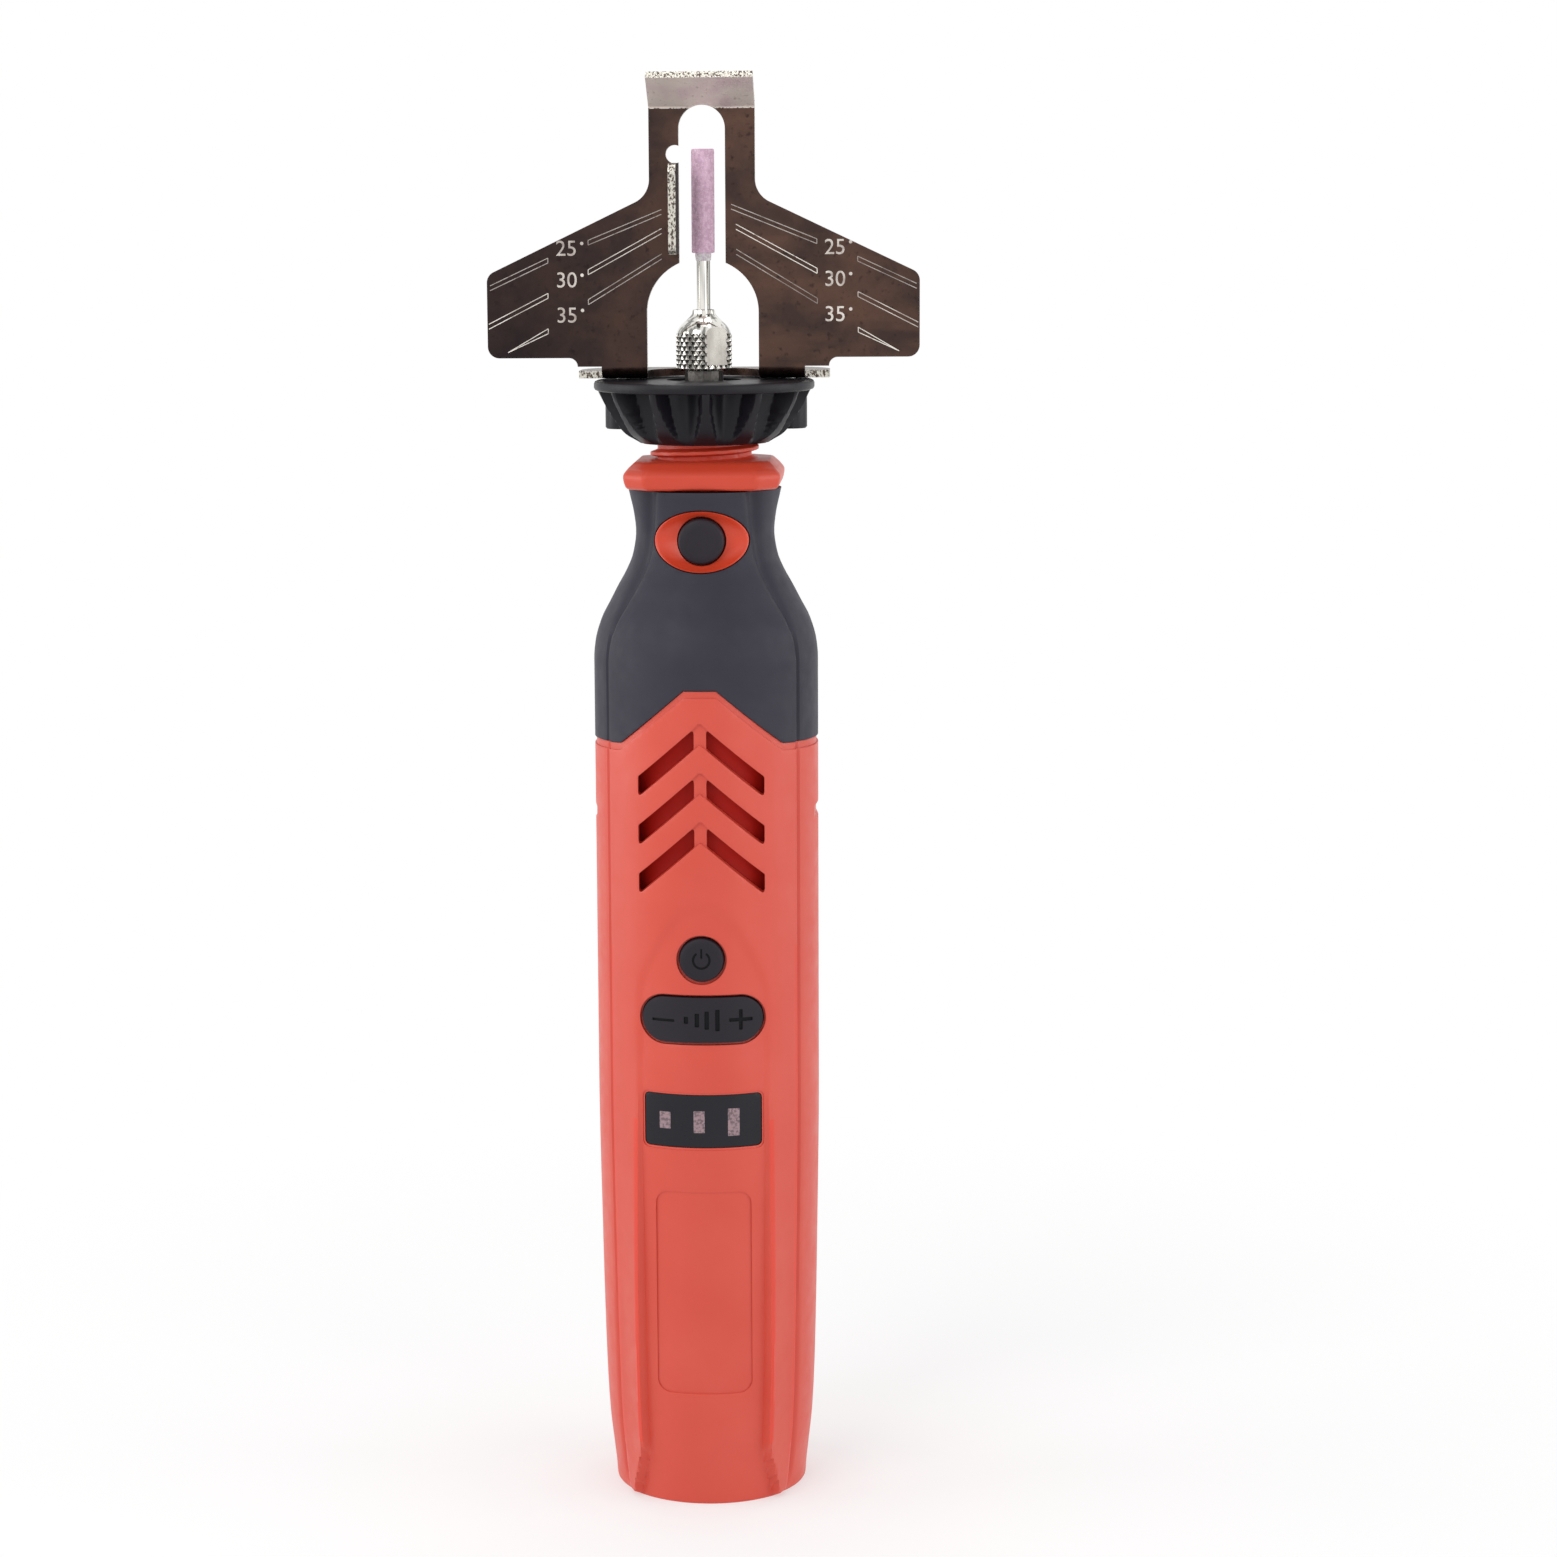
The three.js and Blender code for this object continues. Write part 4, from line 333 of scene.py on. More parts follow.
def outward(obj):
    """Joins points that meet and turns every face outwards."""
    edit = bmesh.new()
    edit.from_mesh(obj.data)
    bmesh.ops.remove_doubles(edit, verts=edit.verts, dist=1e-7)
    bmesh.ops.recalc_face_normals(edit, faces=edit.faces)
    edit.to_mesh(obj.data)
    edit.free()
    return obj


def polar(radius, turn, z):
    """A point by its distance from the axis and its angle in radians."""
    return (radius * cos(turn), radius * sin(turn), z)


def levels(low, high, steps):
    return [low + (high - low) * i / steps for i in range(steps + 1)]


def rings_of(heights, around, radius_at, turn=0):
    """Rings round the axis. radius_at takes a height and a share of the whole turn."""
    return [[polar(radius_at(z, j / around), 2 * pi * j / around + turn, z) for j in range(around)]
            for z in heights]


def skin_faces(rows, count, closed=False):
    """Quads between rings of equal point count."""
    faces = []
    for k in range(rows if closed else rows - 1):
        low, high = k * count, (k + 1) % rows * count
        for j in range(count):
            n = (j + 1) % count
            faces.append((low + j, low + n, high + n, high + j))
    return faces


def loft(name, rings):
    """A closed skin over rings of equal point count, with a flat face at each end."""
    count = len(rings[0])
    vertices = [p for ring in rings for p in ring]
    faces = skin_faces(len(rings), count)
    faces.append(tuple(range(count))[::-1])
    faces.append(tuple(range((len(rings) - 1) * count, len(rings) * count)))
    return mesh_object(name, vertices, faces)


def turned(profile, segments=64, x=0, y=0, name="tool"):
    """A closed [radius, height] outline turned about a line along Z."""
    vertices, rows = [], []
    for r, h in profile:
        count = segments if r > 1e-9 else 1
        rows.append([len(vertices) + j % count for j in range(segments)])
        for j in range(count):
            across, along, _ = polar(r, 2 * pi * j / segments, h)
            vertices.append((x + across, y + along, h))
    closed = list(zip(rows, rows[1:] + rows[:1]))
    if profile[0][0] < 1e-9 and profile[-1][0] < 1e-9:
        closed = closed[:-1]
    faces = []
    for low, high in closed:
        for j in range(segments):
            n = (j + 1) % segments
            face = list(dict.fromkeys((low[j], low[n], high[n], high[j])))
            if len(face) > 2:
                faces.append(face)
    return mesh_object(name, vertices, faces)


def turned_front(profile, x, z, segments=64, name="tool"):
    """The same about a line along Y; heights run towards the front."""
    obj = turned(profile, segments, name=name)
    obj.data.transform(Matrix.Translation((x * MM, 0, z * MM)) @ Matrix.Rotation(pi / 2, 4, "X"))
    return obj


def rod(radius, low, high):
    """The outline of a plain rod."""
    return [(0, low), (radius, low), (radius, high), (0, high)]


def prism(outline, low, high, axis="Y", name="tool"):
    """An outline drawn in the two other axes, made into a prism along this one."""
    k = "XYZ".index(axis)
    count = len(outline)
    vertices = [(*p[:k], d, *p[k:]) for d in (low, high) for p in outline]
    faces = [tuple(range(count)), tuple(range(2 * count - 1, count - 1, -1))]
    for j in range(count):
        n = (j + 1) % count
        faces.append((j, j + count, n + count, n))
    return mesh_object(name, vertices, faces)


def arc(cx, cy, rx, start, end, steps=10, ry=None):
    """Points along an arc, with angles in degrees."""
    ry = ry or rx
    turns = [radians(start + (end - start) * i / steps) for i in range(steps + 1)]
    return [(cx + rx * cos(t), cy + ry * sin(t)) for t in turns]


def rounded_box(half_width, half_height, corner, centre=(0, 0), steps=8):
    cx, cy = centre
    w, h = half_width - corner, half_height - corner
    points = []
    for sx, sy, start in ((1, 1, 0), (-1, 1, 90), (-1, -1, 180), (1, -1, 270)):
        points += arc(cx + sx * w, cy + sy * h, corner, start, start + 90, steps)
    return points


def rounded_polygon(points, corner, steps=4):
    """A polygon with every corner rounded."""
    result = []
    corners = [Vector(p) for p in points]
    for last, here, following in zip(corners[-1:] + corners, corners, corners[1:] + corners[:1]):
        before, after = (last - here).normalized(), (following - here).normalized()
        half = before.angle(after) / 2
        reach = corner / tan(half)
        start, end = here + before * reach, here + after * reach
        for k in range(steps + 1):
            t = k / steps
            result.append(tuple(start * (1 - t) ** 2 + here * 2 * t * (1 - t) + end * t**2))
    return result


def boolean(obj, tools, operation):
    """Cuts, joins or intersects obj with the tools, and deletes them."""
    for tool in tools:
        change = obj.modifiers.new("cut", "BOOLEAN")
        change.operation = operation
        change.solver = "MANIFOLD"
        change.object = tool
    apply_modifiers(obj)
    for tool in tools:
        bpy.data.objects.remove(tool, do_unlink=True)
    return obj


def evaluated(obj):
    """A new mesh of the object as its modifiers make it."""
    graph = bpy.context.evaluated_depsgraph_get()
    return bpy.data.meshes.new_from_object(obj.evaluated_get(graph))


def apply_modifiers(obj):
    mesh, old = evaluated(obj), obj.data
    obj.modifiers.clear()
    obj.data = mesh
    bpy.data.meshes.remove(old)
    mesh.name = obj.name
    return obj


def cut(obj, *tools):
    return boolean(obj, tools, "DIFFERENCE")


def join(obj, *tools):
    return boolean(obj, tools, "UNION")


def common(obj, *tools):
    return boolean(obj, tools, "INTERSECT")


def united(pieces):
    return join(pieces[0], *pieces[1:])


def soften(obj, width, segments=2, angle=35):
    """Rounds the sharp edges."""
    bevel = obj.modifiers.new("soften", "BEVEL")
    bevel.width = width * MM
    bevel.segments = segments
    bevel.limit_method = "ANGLE"
    bevel.angle_limit = radians(angle)
    bevel.harden_normals = False
    return apply_modifiers(obj)


# Slots whose finish has another name
SLOT_FINISH = {"light": "light_bar", "nickel": "nickel_painted_reflections", "stone": "pink_stone"}


def coat(obj, *finishes):
    """Gives an object these finishes and no others."""
    obj.data.materials.clear()
    for finish in finishes:
        obj.data.materials.append(FINISHES[SLOT_FINISH.get(finish, finish)])


def dress(obj, body, slot, *nodes, finish=None, angle=30):
    """Gives a piece its finish, its body and the nodes that it stands for."""
    if not any(obj.data.materials):
        coat(obj, finish or slot)
    obj.data.shade_smooth()
    obj.data.set_sharp_from_angle(angle=radians(angle))
    weighted = obj.modifiers.new("weighted", "WEIGHTED_NORMAL")
    weighted.keep_sharp = True
    weighted.weight = 50
    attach(obj, body)
    if nodes:
        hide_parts(*nodes)


# Form of the body

def section(z, inset):
    """One ring of the body: a round section whose front panel and rails stand proud."""
    radius = body_radius(z)
    around = np.arange(RING_POINTS) * 360 / RING_POINTS - 90
    from_front = np.abs((around + 90 + 180) % 360 - 180)
    beyond = radians(1) * (from_front - crease_degrees(z)) * radius
    panel = 1 - smoothstep(-CREASE_SLOPE, CREASE_SLOPE, beyond)
    flare = smoothstep(152, 168, z)
    width, depth = (a * (1 - flare) + b * flare for a, b in (CREASE_GROOVE_WIDTH, CREASE_GROOVE))
    depth = depth * smoothstep(0, 4, z)
    groove = np.exp(-((beyond - CREASE_SLOPE / 2 - width) / width) ** 2)
    reach = radius + PANEL_PROUD * panel - depth * groove
    rail = rail_share(z) * RAIL_HEIGHT
    if rail > 0:
        aside = radians(1) * (from_front - rail_degrees(z)) * radius
        inner = smoothstep(-RAIL_INNER, 0, aside)
        outer = np.clip(1 - aside / RAIL_OUTER, 0, 1) ** RAIL_FALL
        reach = reach + rail * inner * np.where(aside < 0, 1, outer)
    if ARCH_FOOT[0] < z < ARCH_PEAK + 1:
        aside = reach * np.sin(np.radians(from_front))
        reach = reach - ARCH_DEPTH * arch_share(aside, z) * (from_front < 60)
    return [polar(r, t, z) for r, t in zip(reach - inset, np.radians(around))]


def arch_share(x, z):
    """How deep in the sunk panel round the buttons a point is: a pointed arch with a soft edge."""
    field = (x / ARCH_HALF) ** 2 - (ARCH_PEAK - z) / ARCH_RISE
    distance = field / np.sqrt((2 * x / ARCH_HALF**2) ** 2 + ARCH_RISE**-2)
    inside = (1 - smoothstep(-0.6, 0.6, distance)) * (1 - smoothstep(ARCH_HALF - 0.6, ARCH_HALF + 0.6, x))
    return inside * smoothstep(*ARCH_FOOT, z)


def rail_degrees(z):
    """How far from the front a rail stands: its foot hooks outwards."""
    return RAIL_DEGREES + RAIL_HOOK * (1 - smoothstep(0, RAIL_HOOK_TOP, z))


def rail_share(z):
    rise = (1 - smoothstep(RAIL_FULL, RAIL_TOP, z)) ** 0.65
    return max(0, rise * smoothstep(0, RAIL_END, z))


def body_heights(bottom, top):
    fine = [0, 0.2, 0.45, 0.7, 0.9, 1.3, 1.8, 2.7, 3.6, 4.8, 6]
    count = int((GRIP_TOP - fine[-1]) / RING_STEP) + 1
    fine += list(np.linspace(fine[-1], GRIP_TOP, count))[1:]
    return [bottom] + [z for z in fine if bottom + 0.05 < z < top - 0.05] + [top]


def body_form(inset=0, bottom=0, top=GRIP_TOP, name="tool"):
    return loft(name, [section(z, inset) for z in body_heights(bottom, top)])


def above_chevron(drop):
    """A block over everything above the grip's edge, lowered by drop."""
    edge = [(x, z - drop) for x, z in CHEVRON]
    return prism(edge + [(OUTSIDE, 190), (-OUTSIDE, 190)], -OUTSIDE, OUTSIDE)


def half_space(front):
    low, high = (-OUTSIDE, -SEAM / 2) if front else (SEAM / 2, OUTSIDE)
    return prism(rounded_box(40, 110, 1, (0, 90), 1), low, high)


def plug(outline):
    """A prism that reaches through the front wall."""
    return prism(outline, -OUTSIDE, -INSIDE)


def without_skin(tool, inset, bottom, top):
    """Leaves only the part of a tool that is outside the body's form."""
    return cut(tool, body_form(inset, bottom, top))


def mirrored(points, side):
    return [(side * x, z) for x, z in points]


def vent_slot(top, side):
    low = top - VENT_DROP
    corners = [(VENT_INNER, top), (VENT_INNER, top - VENT_HEIGHT)]
    corners += [(VENT_OUTER, low - VENT_HEIGHT), (VENT_OUTER, low)]
    return rounded_polygon(mirrored(corners, side), VENT_CORNER)


def vent_bridge(top):
    """The lowered, pointed bridge between a row's two slots."""
    half = VENT_INNER * 1.5
    slope = VENT_DROP / (VENT_OUTER - VENT_INNER)
    peak, low = top + VENT_INNER * slope - 0.1, top - (half - VENT_INNER) * slope
    return [(half, low), (0.3, peak), (-0.3, peak), (-half, low),
            (-half, low - VENT_HEIGHT), (0, peak - VENT_HEIGHT), (half, low - VENT_HEIGHT)]


def red_half(front):
    shell = body_form(0, 0, 150, "front_shell" if front else "back_shell")
    cut(shell, above_chevron(CHEVRON_GAP))
    # A shallow step just under the grip's edge
    lower = [(x, z - BEAD_DROP) for x, z in reversed(CHEVRON)]
    cut(shell, without_skin(prism(CHEVRON + lower, -OUTSIDE, OUTSIDE), BEAD_DEPTH, 126, 150))
    join(shell, body_form(*NECK_CORE))
    cut(shell, body_form(WALL, WALL, 176))
    common(shell, half_space(front))
    low, high = (-OUTSIDE, -INSIDE) if front else (INSIDE, OUTSIDE)
    tools = []
    for top in VENT_TOPS:
        tools += [prism(vent_slot(top, side), low, high) for side in (-1, 1)]
        tools.append(without_skin(prism(vent_bridge(top), low, high), VENT_RECESS, 105, 145))
    return cut(shell, *tools)


def pry_notches():
    corners = [(19.1, 121.5), (19.1, 123.4), (21, 124.9), (21, 120)]
    return [prism(rounded_polygon(mirrored(corners, side), 0.3), -4.9, 4.9) for side in (-1, 1)]


def wider(half, more, corner, z, steps):
    return rounded_box(half[0] + more, half[1] + more, corner, (0, z), steps)


def front_shell():
    shell = red_half(True)
    label = rounded_box(*LABEL_HALF, LABEL_CORNER, (0, LABEL_HEIGHT), 10)
    # Outline, depth and heights of each shallow step in the face
    steps = [
        (label, LABEL_DEPTH, 15, 62),
        (arc(0, POWER_HEIGHT, POWER_RADIUS + 0.36, 0, 360, 72)[:-1], 1, 90, 106),
        (wider(ROCKER_HALF, 0.36, ROCKER_HALF[1] + 0.34, ROCKER_HEIGHT, 16), 0.9, 80, 96),
        (wider(WINDOW_HALF, 0.5, 1.2, WINDOW_HEIGHT, 5), 0.2, 62, 78),
    ]
    cut(
        shell,
        turned_front(rod(LOCK_HOLE, 6, OUTSIDE), 0, LOCK_HEIGHT, 72),
        turned_front(rod(POWER_RADIUS, INSIDE, OUTSIDE), 0, POWER_HEIGHT, 72),
        plug(rounded_box(*ROCKER_HALF, ROCKER_HALF[1] - 0.02, (0, ROCKER_HEIGHT), 16)),
        plug(wider(WINDOW_HALF, 0.12, 0.9, WINDOW_HEIGHT, 5)),
        *[without_skin(plug(outline), depth, low, high) for outline, depth, low, high in steps],
        *pry_notches(),
    )
    return soften(shell, 0.12, 2, 40)


def paint_crest_highlights(shell):
    """Painted highlight: faces along the crests of the rails and creases get a fuller, glossier red that
    stands in for the highlight on them.
    """
    coat(shell, "red_plastic", "crest_highlight_plastic")
    for face in shell.data.polygons:
        face.material_index = 0
        x, y, z = face.center / MM
        radius = hypot(x, y)
        if radius < body_radius(z) - 0.6 or not CREST_HIGHLIGHT_FOOT < z < CREST_HIGHLIGHT_TOP:
            continue
        from_front = degrees(atan2(abs(x), -y))
        rail = radians(from_front - rail_degrees(z)) * radius
        crease = radians(from_front - crease_degrees(z)) * radius
        on_rail = CREST_HIGHLIGHT_RAIL[0] < rail < CREST_HIGHLIGHT_RAIL[1] and RAIL_HOOK_TOP < z < RAIL_TOP - 16
        on_crease = CREST_HIGHLIGHT_CREASE[0] < crease < CREST_HIGHLIGHT_CREASE[1]
        face.material_index = 1 if on_rail or on_crease else 0
    return shell


def screw_wells(places):
    return [turned_front(rod(WELL_RADIUS, -OUTSIDE, -WELL_FLOOR), side * x, z, 40)
            for side in (-1, 1) for x, z in places]


def back_shell():
    shell = red_half(False)
    cut(shell, *screw_wells(CASE_SCREWS.values()), *pry_notches())
    return soften(shell, 0.12, 2, 40)


def vent_screen():
    """Red walls close behind the vents, in front of the motor and behind it."""
    outer, inner, low, high = 16.7, 15.9, 109, 141.6
    outline = arc(0, 0, outer, -135, -45, 30) + arc(0, 0, inner, -45, -135, 30)
    screen = prism(outline, low, high, "Z", "vent_screen")
    return join(screen, prism([(-x, -y) for x, y in outline], low, high, "Z"))


def grip(front):
    skin = body_form(0, 130, GRIP_TOP, "front_grip" if front else "back_grip")
    common(skin, above_chevron(0))
    cut(skin, body_form(RUBBER, 129, GRIP_TOP))
    common(skin, half_space(front))
    if front:
        cut(skin, prism(arc(0, LOCK_HEIGHT, 8.3, 0, 360, 72, 5.4)[:-1], -OUTSIDE, -4))
    else:
        cut(skin, *screw_wells([CASE_SCREWS["top"]]))
    return soften(skin, 0.14, 2, 40)


# Camera, light and stage

def add_turned(name, data, place, look):
    obj = add_object(name, data)
    obj.location = place
    obj.rotation_mode = "QUATERNION"
    obj.rotation_quaternion = look
    return obj


def make_camera():
    data = bpy.data.cameras.new("camera")
    data.sensor_width = SENSOR
    data.lens = FOCAL_PIXELS * SENSOR / PHOTO_SIDE
    data.shift_x = (PHOTO_SIDE / 2 - AXIS_PIXEL) / PHOTO_SIDE
    turn, lift = radians(CAMERA_AZIMUTH), radians(CAMERA_ELEVATION)
    back = Vector((sin(turn) * cos(lift), -cos(turn) * cos(lift), sin(lift)))
    target = Vector((0, 0, CAMERA_HEIGHT * MM))
    roll = Matrix.Rotation(radians(-CAMERA_ROLL), 4, "Z").to_quaternion()
    look = (-back).to_track_quat("-Z", "Y") @ roll
    SCENE.camera = add_turned("camera", data, target + back * CAMERA_DISTANCE * MM, look)


def area_light(name, place, height, size, power):
    """A lamp aimed at the axis at that height."""
    data = bpy.data.lights.new(name, "AREA")
    data.shape = "RECTANGLE"
    data.size, data.size_y = size[0] * MM, size[1] * MM
    data.energy = power
    place = Vector(place) * MM
    look = (Vector((0, 0, height)) * MM - place).to_track_quat("-Z", "Y")
    add_turned(name, data, place, look)


def add_node(tree, kind, inputs=(), **settings):
    """A new shader node. Each input takes a value, or the socket that is linked to it."""
    node = tree.nodes.new("ShaderNode" + kind)
    for key, value in settings.items():
        setattr(node, key, value)
    for key, value in dict(inputs).items():
        if isinstance(value, bpy.types.NodeSocket):
            tree.links.new(value, node.inputs[key])
        else:
            node.inputs[key].default_value = value
    return node


def make_light():
    """Five plain lamps, a soft world, and white where the camera or a reflection sees past the object."""
    world = bpy.data.worlds.new("studio")
    SCENE.world = world
    world.use_nodes = True
    tree = world.node_tree
    tree.nodes.clear()
    path = add_node(tree, "LightPath").outputs
    seen = path["Is Camera Ray"]
    for kind in ("Is Glossy Ray", "Is Transmission Ray"):
        seen = add_node(tree, "Math", {0: seen, 1: path[kind]}, operation="MAXIMUM").outputs[0]
    soft, white = (add_node(tree, "Background", {"Color": WHITE, "Strength": strength}).outputs[0]
                   for strength in (WORLD_LIGHT, 1))
    mix = add_node(tree, "MixShader", {0: seen, 1: soft, 2: white}).outputs[0]
    add_node(tree, "OutputWorld", {"Surface": mix})
    for lamp in LAMPS:
        area_light(*lamp)


def make_stage():
    """A pale floor that keeps the object's shadow and fades to white round it."""
    far = FLOOR_HALF
    floor = mesh_object("floor", [(-far, -far, 0), (far, -far, 0), (far, far, 0), (-far, far, 0)], [range(4)])
    finish = Finish("floor", (0.92, 0.92, 0.92), 0.9)
    distance = finish.add("VectorMath", {0: finish.place}, operation="LENGTH").outputs["Value"]
    start, end, least = FLOOR_FADE
    fade = finish.ramp(distance, start * MM, end * MM, least, interpolation_type="SMOOTHSTEP")
    glow = finish.add("Emission", {"Color": WHITE}).outputs[0]
    nodes = finish.tree.nodes
    mix = finish.add("MixShader", {0: fade, 1: nodes["Principled BSDF"].outputs[0], 2: glow}).outputs[0]
    finish.link(mix, nodes["Material Output"].inputs["Surface"])
    floor.data.materials.append(finish.material)


# Finishes

class Finish:
    """A node material, built up a step at a time."""

    def __init__(self, name, color, roughness, metallic=0, specular=0.5):
        self.material = FINISHES[name] = bpy.data.materials.new(name)
        self.material.use_nodes = True
        self.tree = self.material.node_tree
        self.link = self.tree.links.new
        self.color = (*color, 1)
        self.shader = self.tree.nodes["Principled BSDF"].inputs
        for key, value in (("Base Color", self.color), ("Roughness", roughness), ("Metallic", metallic),
                           ("Specular IOR Level", specular)):
            self.shader[key].default_value = value
        self.place = self.add("TexCoord").outputs["Object"]

    def add(self, kind, inputs=(), **settings):
        return add_node(self.tree, kind, inputs, **settings)

    def noise(self, size, detail=3, stretch=None, distortion=0):
        """A noise whose spots are about size millimetres across."""
        place = self.place
        if stretch:
            place = self.add("Mapping", {"Scale": stretch, "Vector": place}).outputs["Vector"]
        inputs = {"Scale": 1 / (size * MM), "Detail": detail, "Distortion": distortion, "Vector": place}
        return self.add("TexNoise", inputs).outputs["Fac"]

    def ramp(self, value, low, high, out_low=0, out_high=1, **settings):
        inputs = {"From Min": low, "From Max": high, "To Min": out_low, "To Max": out_high, "Value": value}
        return self.add("MapRange", inputs, **settings).outputs["Result"]

    def blotch(self, share, color):
        """Mixes another colour in by a share."""
        socket = self.shader["Base Color"]
        before = socket.links[0].from_socket if socket.links else self.color
        mix = self.add("Mix", {"Factor": share, "A": before, "B": (*color, 1)}, data_type="RGBA")
        self.link(mix.outputs["Result"], socket)

    def cloud(self, size, detail, low, high, color, share=1, stretch=None, distortion=0):
        """Patches of another colour, about size millimetres across."""
        noise = self.noise(size, detail, stretch, distortion)
        self.blotch(self.ramp(noise, low, high, 0, share), color)

    def gloss(self, size, low, high, detail=4):
        """Uneven roughness between low and high."""
        self.link(self.ramp(self.noise(size, detail), 0.3, 0.7, low, high), self.shader["Roughness"])

    def grain(self, size, height, detail=3):
        """Raises the surface by up to height millimetres."""
        inputs = {"Distance": height * MM, "Strength": 1, "Height": self.noise(size, detail)}
        self.link(self.add("Bump", inputs).outputs["Normal"], self.shader["Normal"])


def surface(name, color, roughness, metallic, clouds, gloss=None, grain=None, specular=0.5):
    """A finish with its clouds, its uneven gloss and its grain."""
    finish = Finish(name, color, roughness, metallic, specular)
    for cloud in clouds:
        finish.cloud(*cloud)
    if gloss:
        finish.gloss(*gloss)
    if grain:
        finish.grain(*grain)


def plastic(name, color, light, roughness, grain=0.25, height=0.006, specular=0.5):
    """Moulded plastic: faint cloudiness, fine spark texture and uneven gloss."""
    surface(name, color, roughness, 0, [(14, 4, 0.4, 0.75, light, 0.55)],
            (3, roughness - 0.05, roughness + 0.07), (grain, height, 2), specular)


def make_finishes():
    for name, row in PLASTICS.items():
        plastic(name, *row)
    dark_sheet()
    for name, row in SURFACES.items():
        surface(name, *row)


def dark_sheet():
    """Blued steel: brown patches and streaks, painted shade darkening it in patches towards the left wing,
    with fine dark specks.
    """
    finish = Finish("dark_sheet", (0.054, 0.035, 0.031), 0.27, 1)
    finish.cloud(10, 5, 0.42, 0.62, (0.09, 0.052, 0.041), distortion=0.5)
    finish.cloud(4.5, 4, 0.5, 0.68, (0.115, 0.064, 0.046), 0.55, (0.3, 1, 1))
    # Painted shade: the left wing is darkened in patches
    side = finish.add("SeparateXYZ", {0: finish.place}).outputs["X"]
    left = finish.ramp(side, 4 * MM, -32 * MM)
    patchy = finish.ramp(finish.noise(14, 4), 0.35, 0.6, 0.65, 1)
    dark = finish.add("Math", {0: left, 1: patchy}, operation="MULTIPLY").outputs[0]
    finish.blotch(dark, (0.026, 0.019, 0.019))
    finish.cloud(1.1, 5, 0.6, 0.76, (0.02, 0.014, 0.015), 0.7)
    finish.gloss(1.2, 0.24, 0.4, 5)
    finish.grain(0.5, 0.007)


# Controls on the front

def bezel_form():
    """An oval ring dished from its rim down to the round hole, over the neck's form."""
    profile = [(0, -1.5), (0, -1.36), (0.06, -1.32), (0.18, -1.2), (0.32, -1.02), (0.46, -0.8),
               (0.6, -0.53), (0.72, -0.27), (0.82, -0.04), (0.89, 0.13), (0.94, 0.21), (0.975, 0.22),
               (1, 0.16), (1, 0.05), (1, -1.5)]
    around = 120
    vertices = []
    for share, proud in profile:
        half_x, half_z = (LOCK_HOLE * (1 - share) + half * share for half in BEZEL_HALF)
        for j in range(around):
            turn = 2 * pi * j / around
            x, z = half_x * cos(turn), LOCK_HEIGHT + half_z * sin(turn)
            radius = panel_radius(z) + proud
            vertices.append((x, -sqrt(radius**2 - x**2), z))
    return mesh_object("bezel", vertices, skin_faces(len(profile), around, True))


def lock_pieces():
    dress(bezel_form(), "housing", "orange_plastic", "lock_bezel", angle=50)
    face, back, edge = panel_radius(LOCK_HEIGHT) + 0.1, 10.4, 3.95
    button = turned_front([
        (2.4, face), (edge - 0.4, face - 0.02), (edge - 0.12, face - 0.2), (edge, face - 0.5),
        (edge, back), (0, back), (0, face),
    ], 0, LOCK_HEIGHT, 72, "lock_cap")
    dress(button, "lock", "button_plastic", "lock_button", angle=40)


def panel_radius(z):
    return body_radius(z) + PANEL_PROUD


def curved_outline(outline, proud, thickness, name):
    """A slab of that outline whose front follows the body's form."""
    heights = [z for _, z in outline]
    low, high = min(heights) - 2, max(heights) + 2
    slab = prism(outline, -OUTSIDE, -6, name=name)
    common(slab, body_form(-proud, low, high))
    cut(slab, body_form(thickness - proud, low - 1, high + 1))
    return slab


def power_piece():
    face, back = panel_radius(POWER_HEIGHT) - ARCH_DEPTH + 0.15, 16.2
    edge = POWER_RADIUS - BUTTON_GAP
    button = turned_front([
        (edge - 1.2, face), (edge - 0.5, face - 0.04), (edge - 0.15, face - 0.22), (edge, face - 0.6),
        (edge, back), (0, back), (0, face),
    ], 0, POWER_HEIGHT, 80, "power_cap")
    inner, outer = 1.22, 1.62
    ring = arc(0, POWER_HEIGHT, outer, 125, 415, 40) + arc(0, POWER_HEIGHT, inner, 415, 125, 40)
    bar = rounded_box(0.17, 0.85, 0.08, (0, POWER_HEIGHT + 1.15), 3)
    cut(button, *[prism(part, -face - 1, -face + 0.24) for part in (ring, bar)])
    dress(button, "power", "button_plastic", "power_button", angle=35)
    sign = united([prism(part, -face + 0.14, -face + 0.32, name="power_sign") for part in (ring, bar)])
    dress(sign, "power", "button_plastic", finish="symbol_dark")


def rocker_signs():
    """Outlines of the minus, four growing bars and the plus."""
    signs = [(1.95, 0.24, 0.1, -6.75, -0.15)]
    signs += [(0.38, half, 0.12, x, 0) for x, half in ((-2.75, 0.62), (-0.85, 1.2), (0.85, 1.6), (2.7, 1.9))]
    signs += [(2, 0.32, 0.12, 6.7, 0), (0.32, 1.8, 0.12, 6.7, 0)]
    return [rounded_box(w, h, corner, (x, ROCKER_HEIGHT + up), 3) for w, h, corner, x, up in signs]


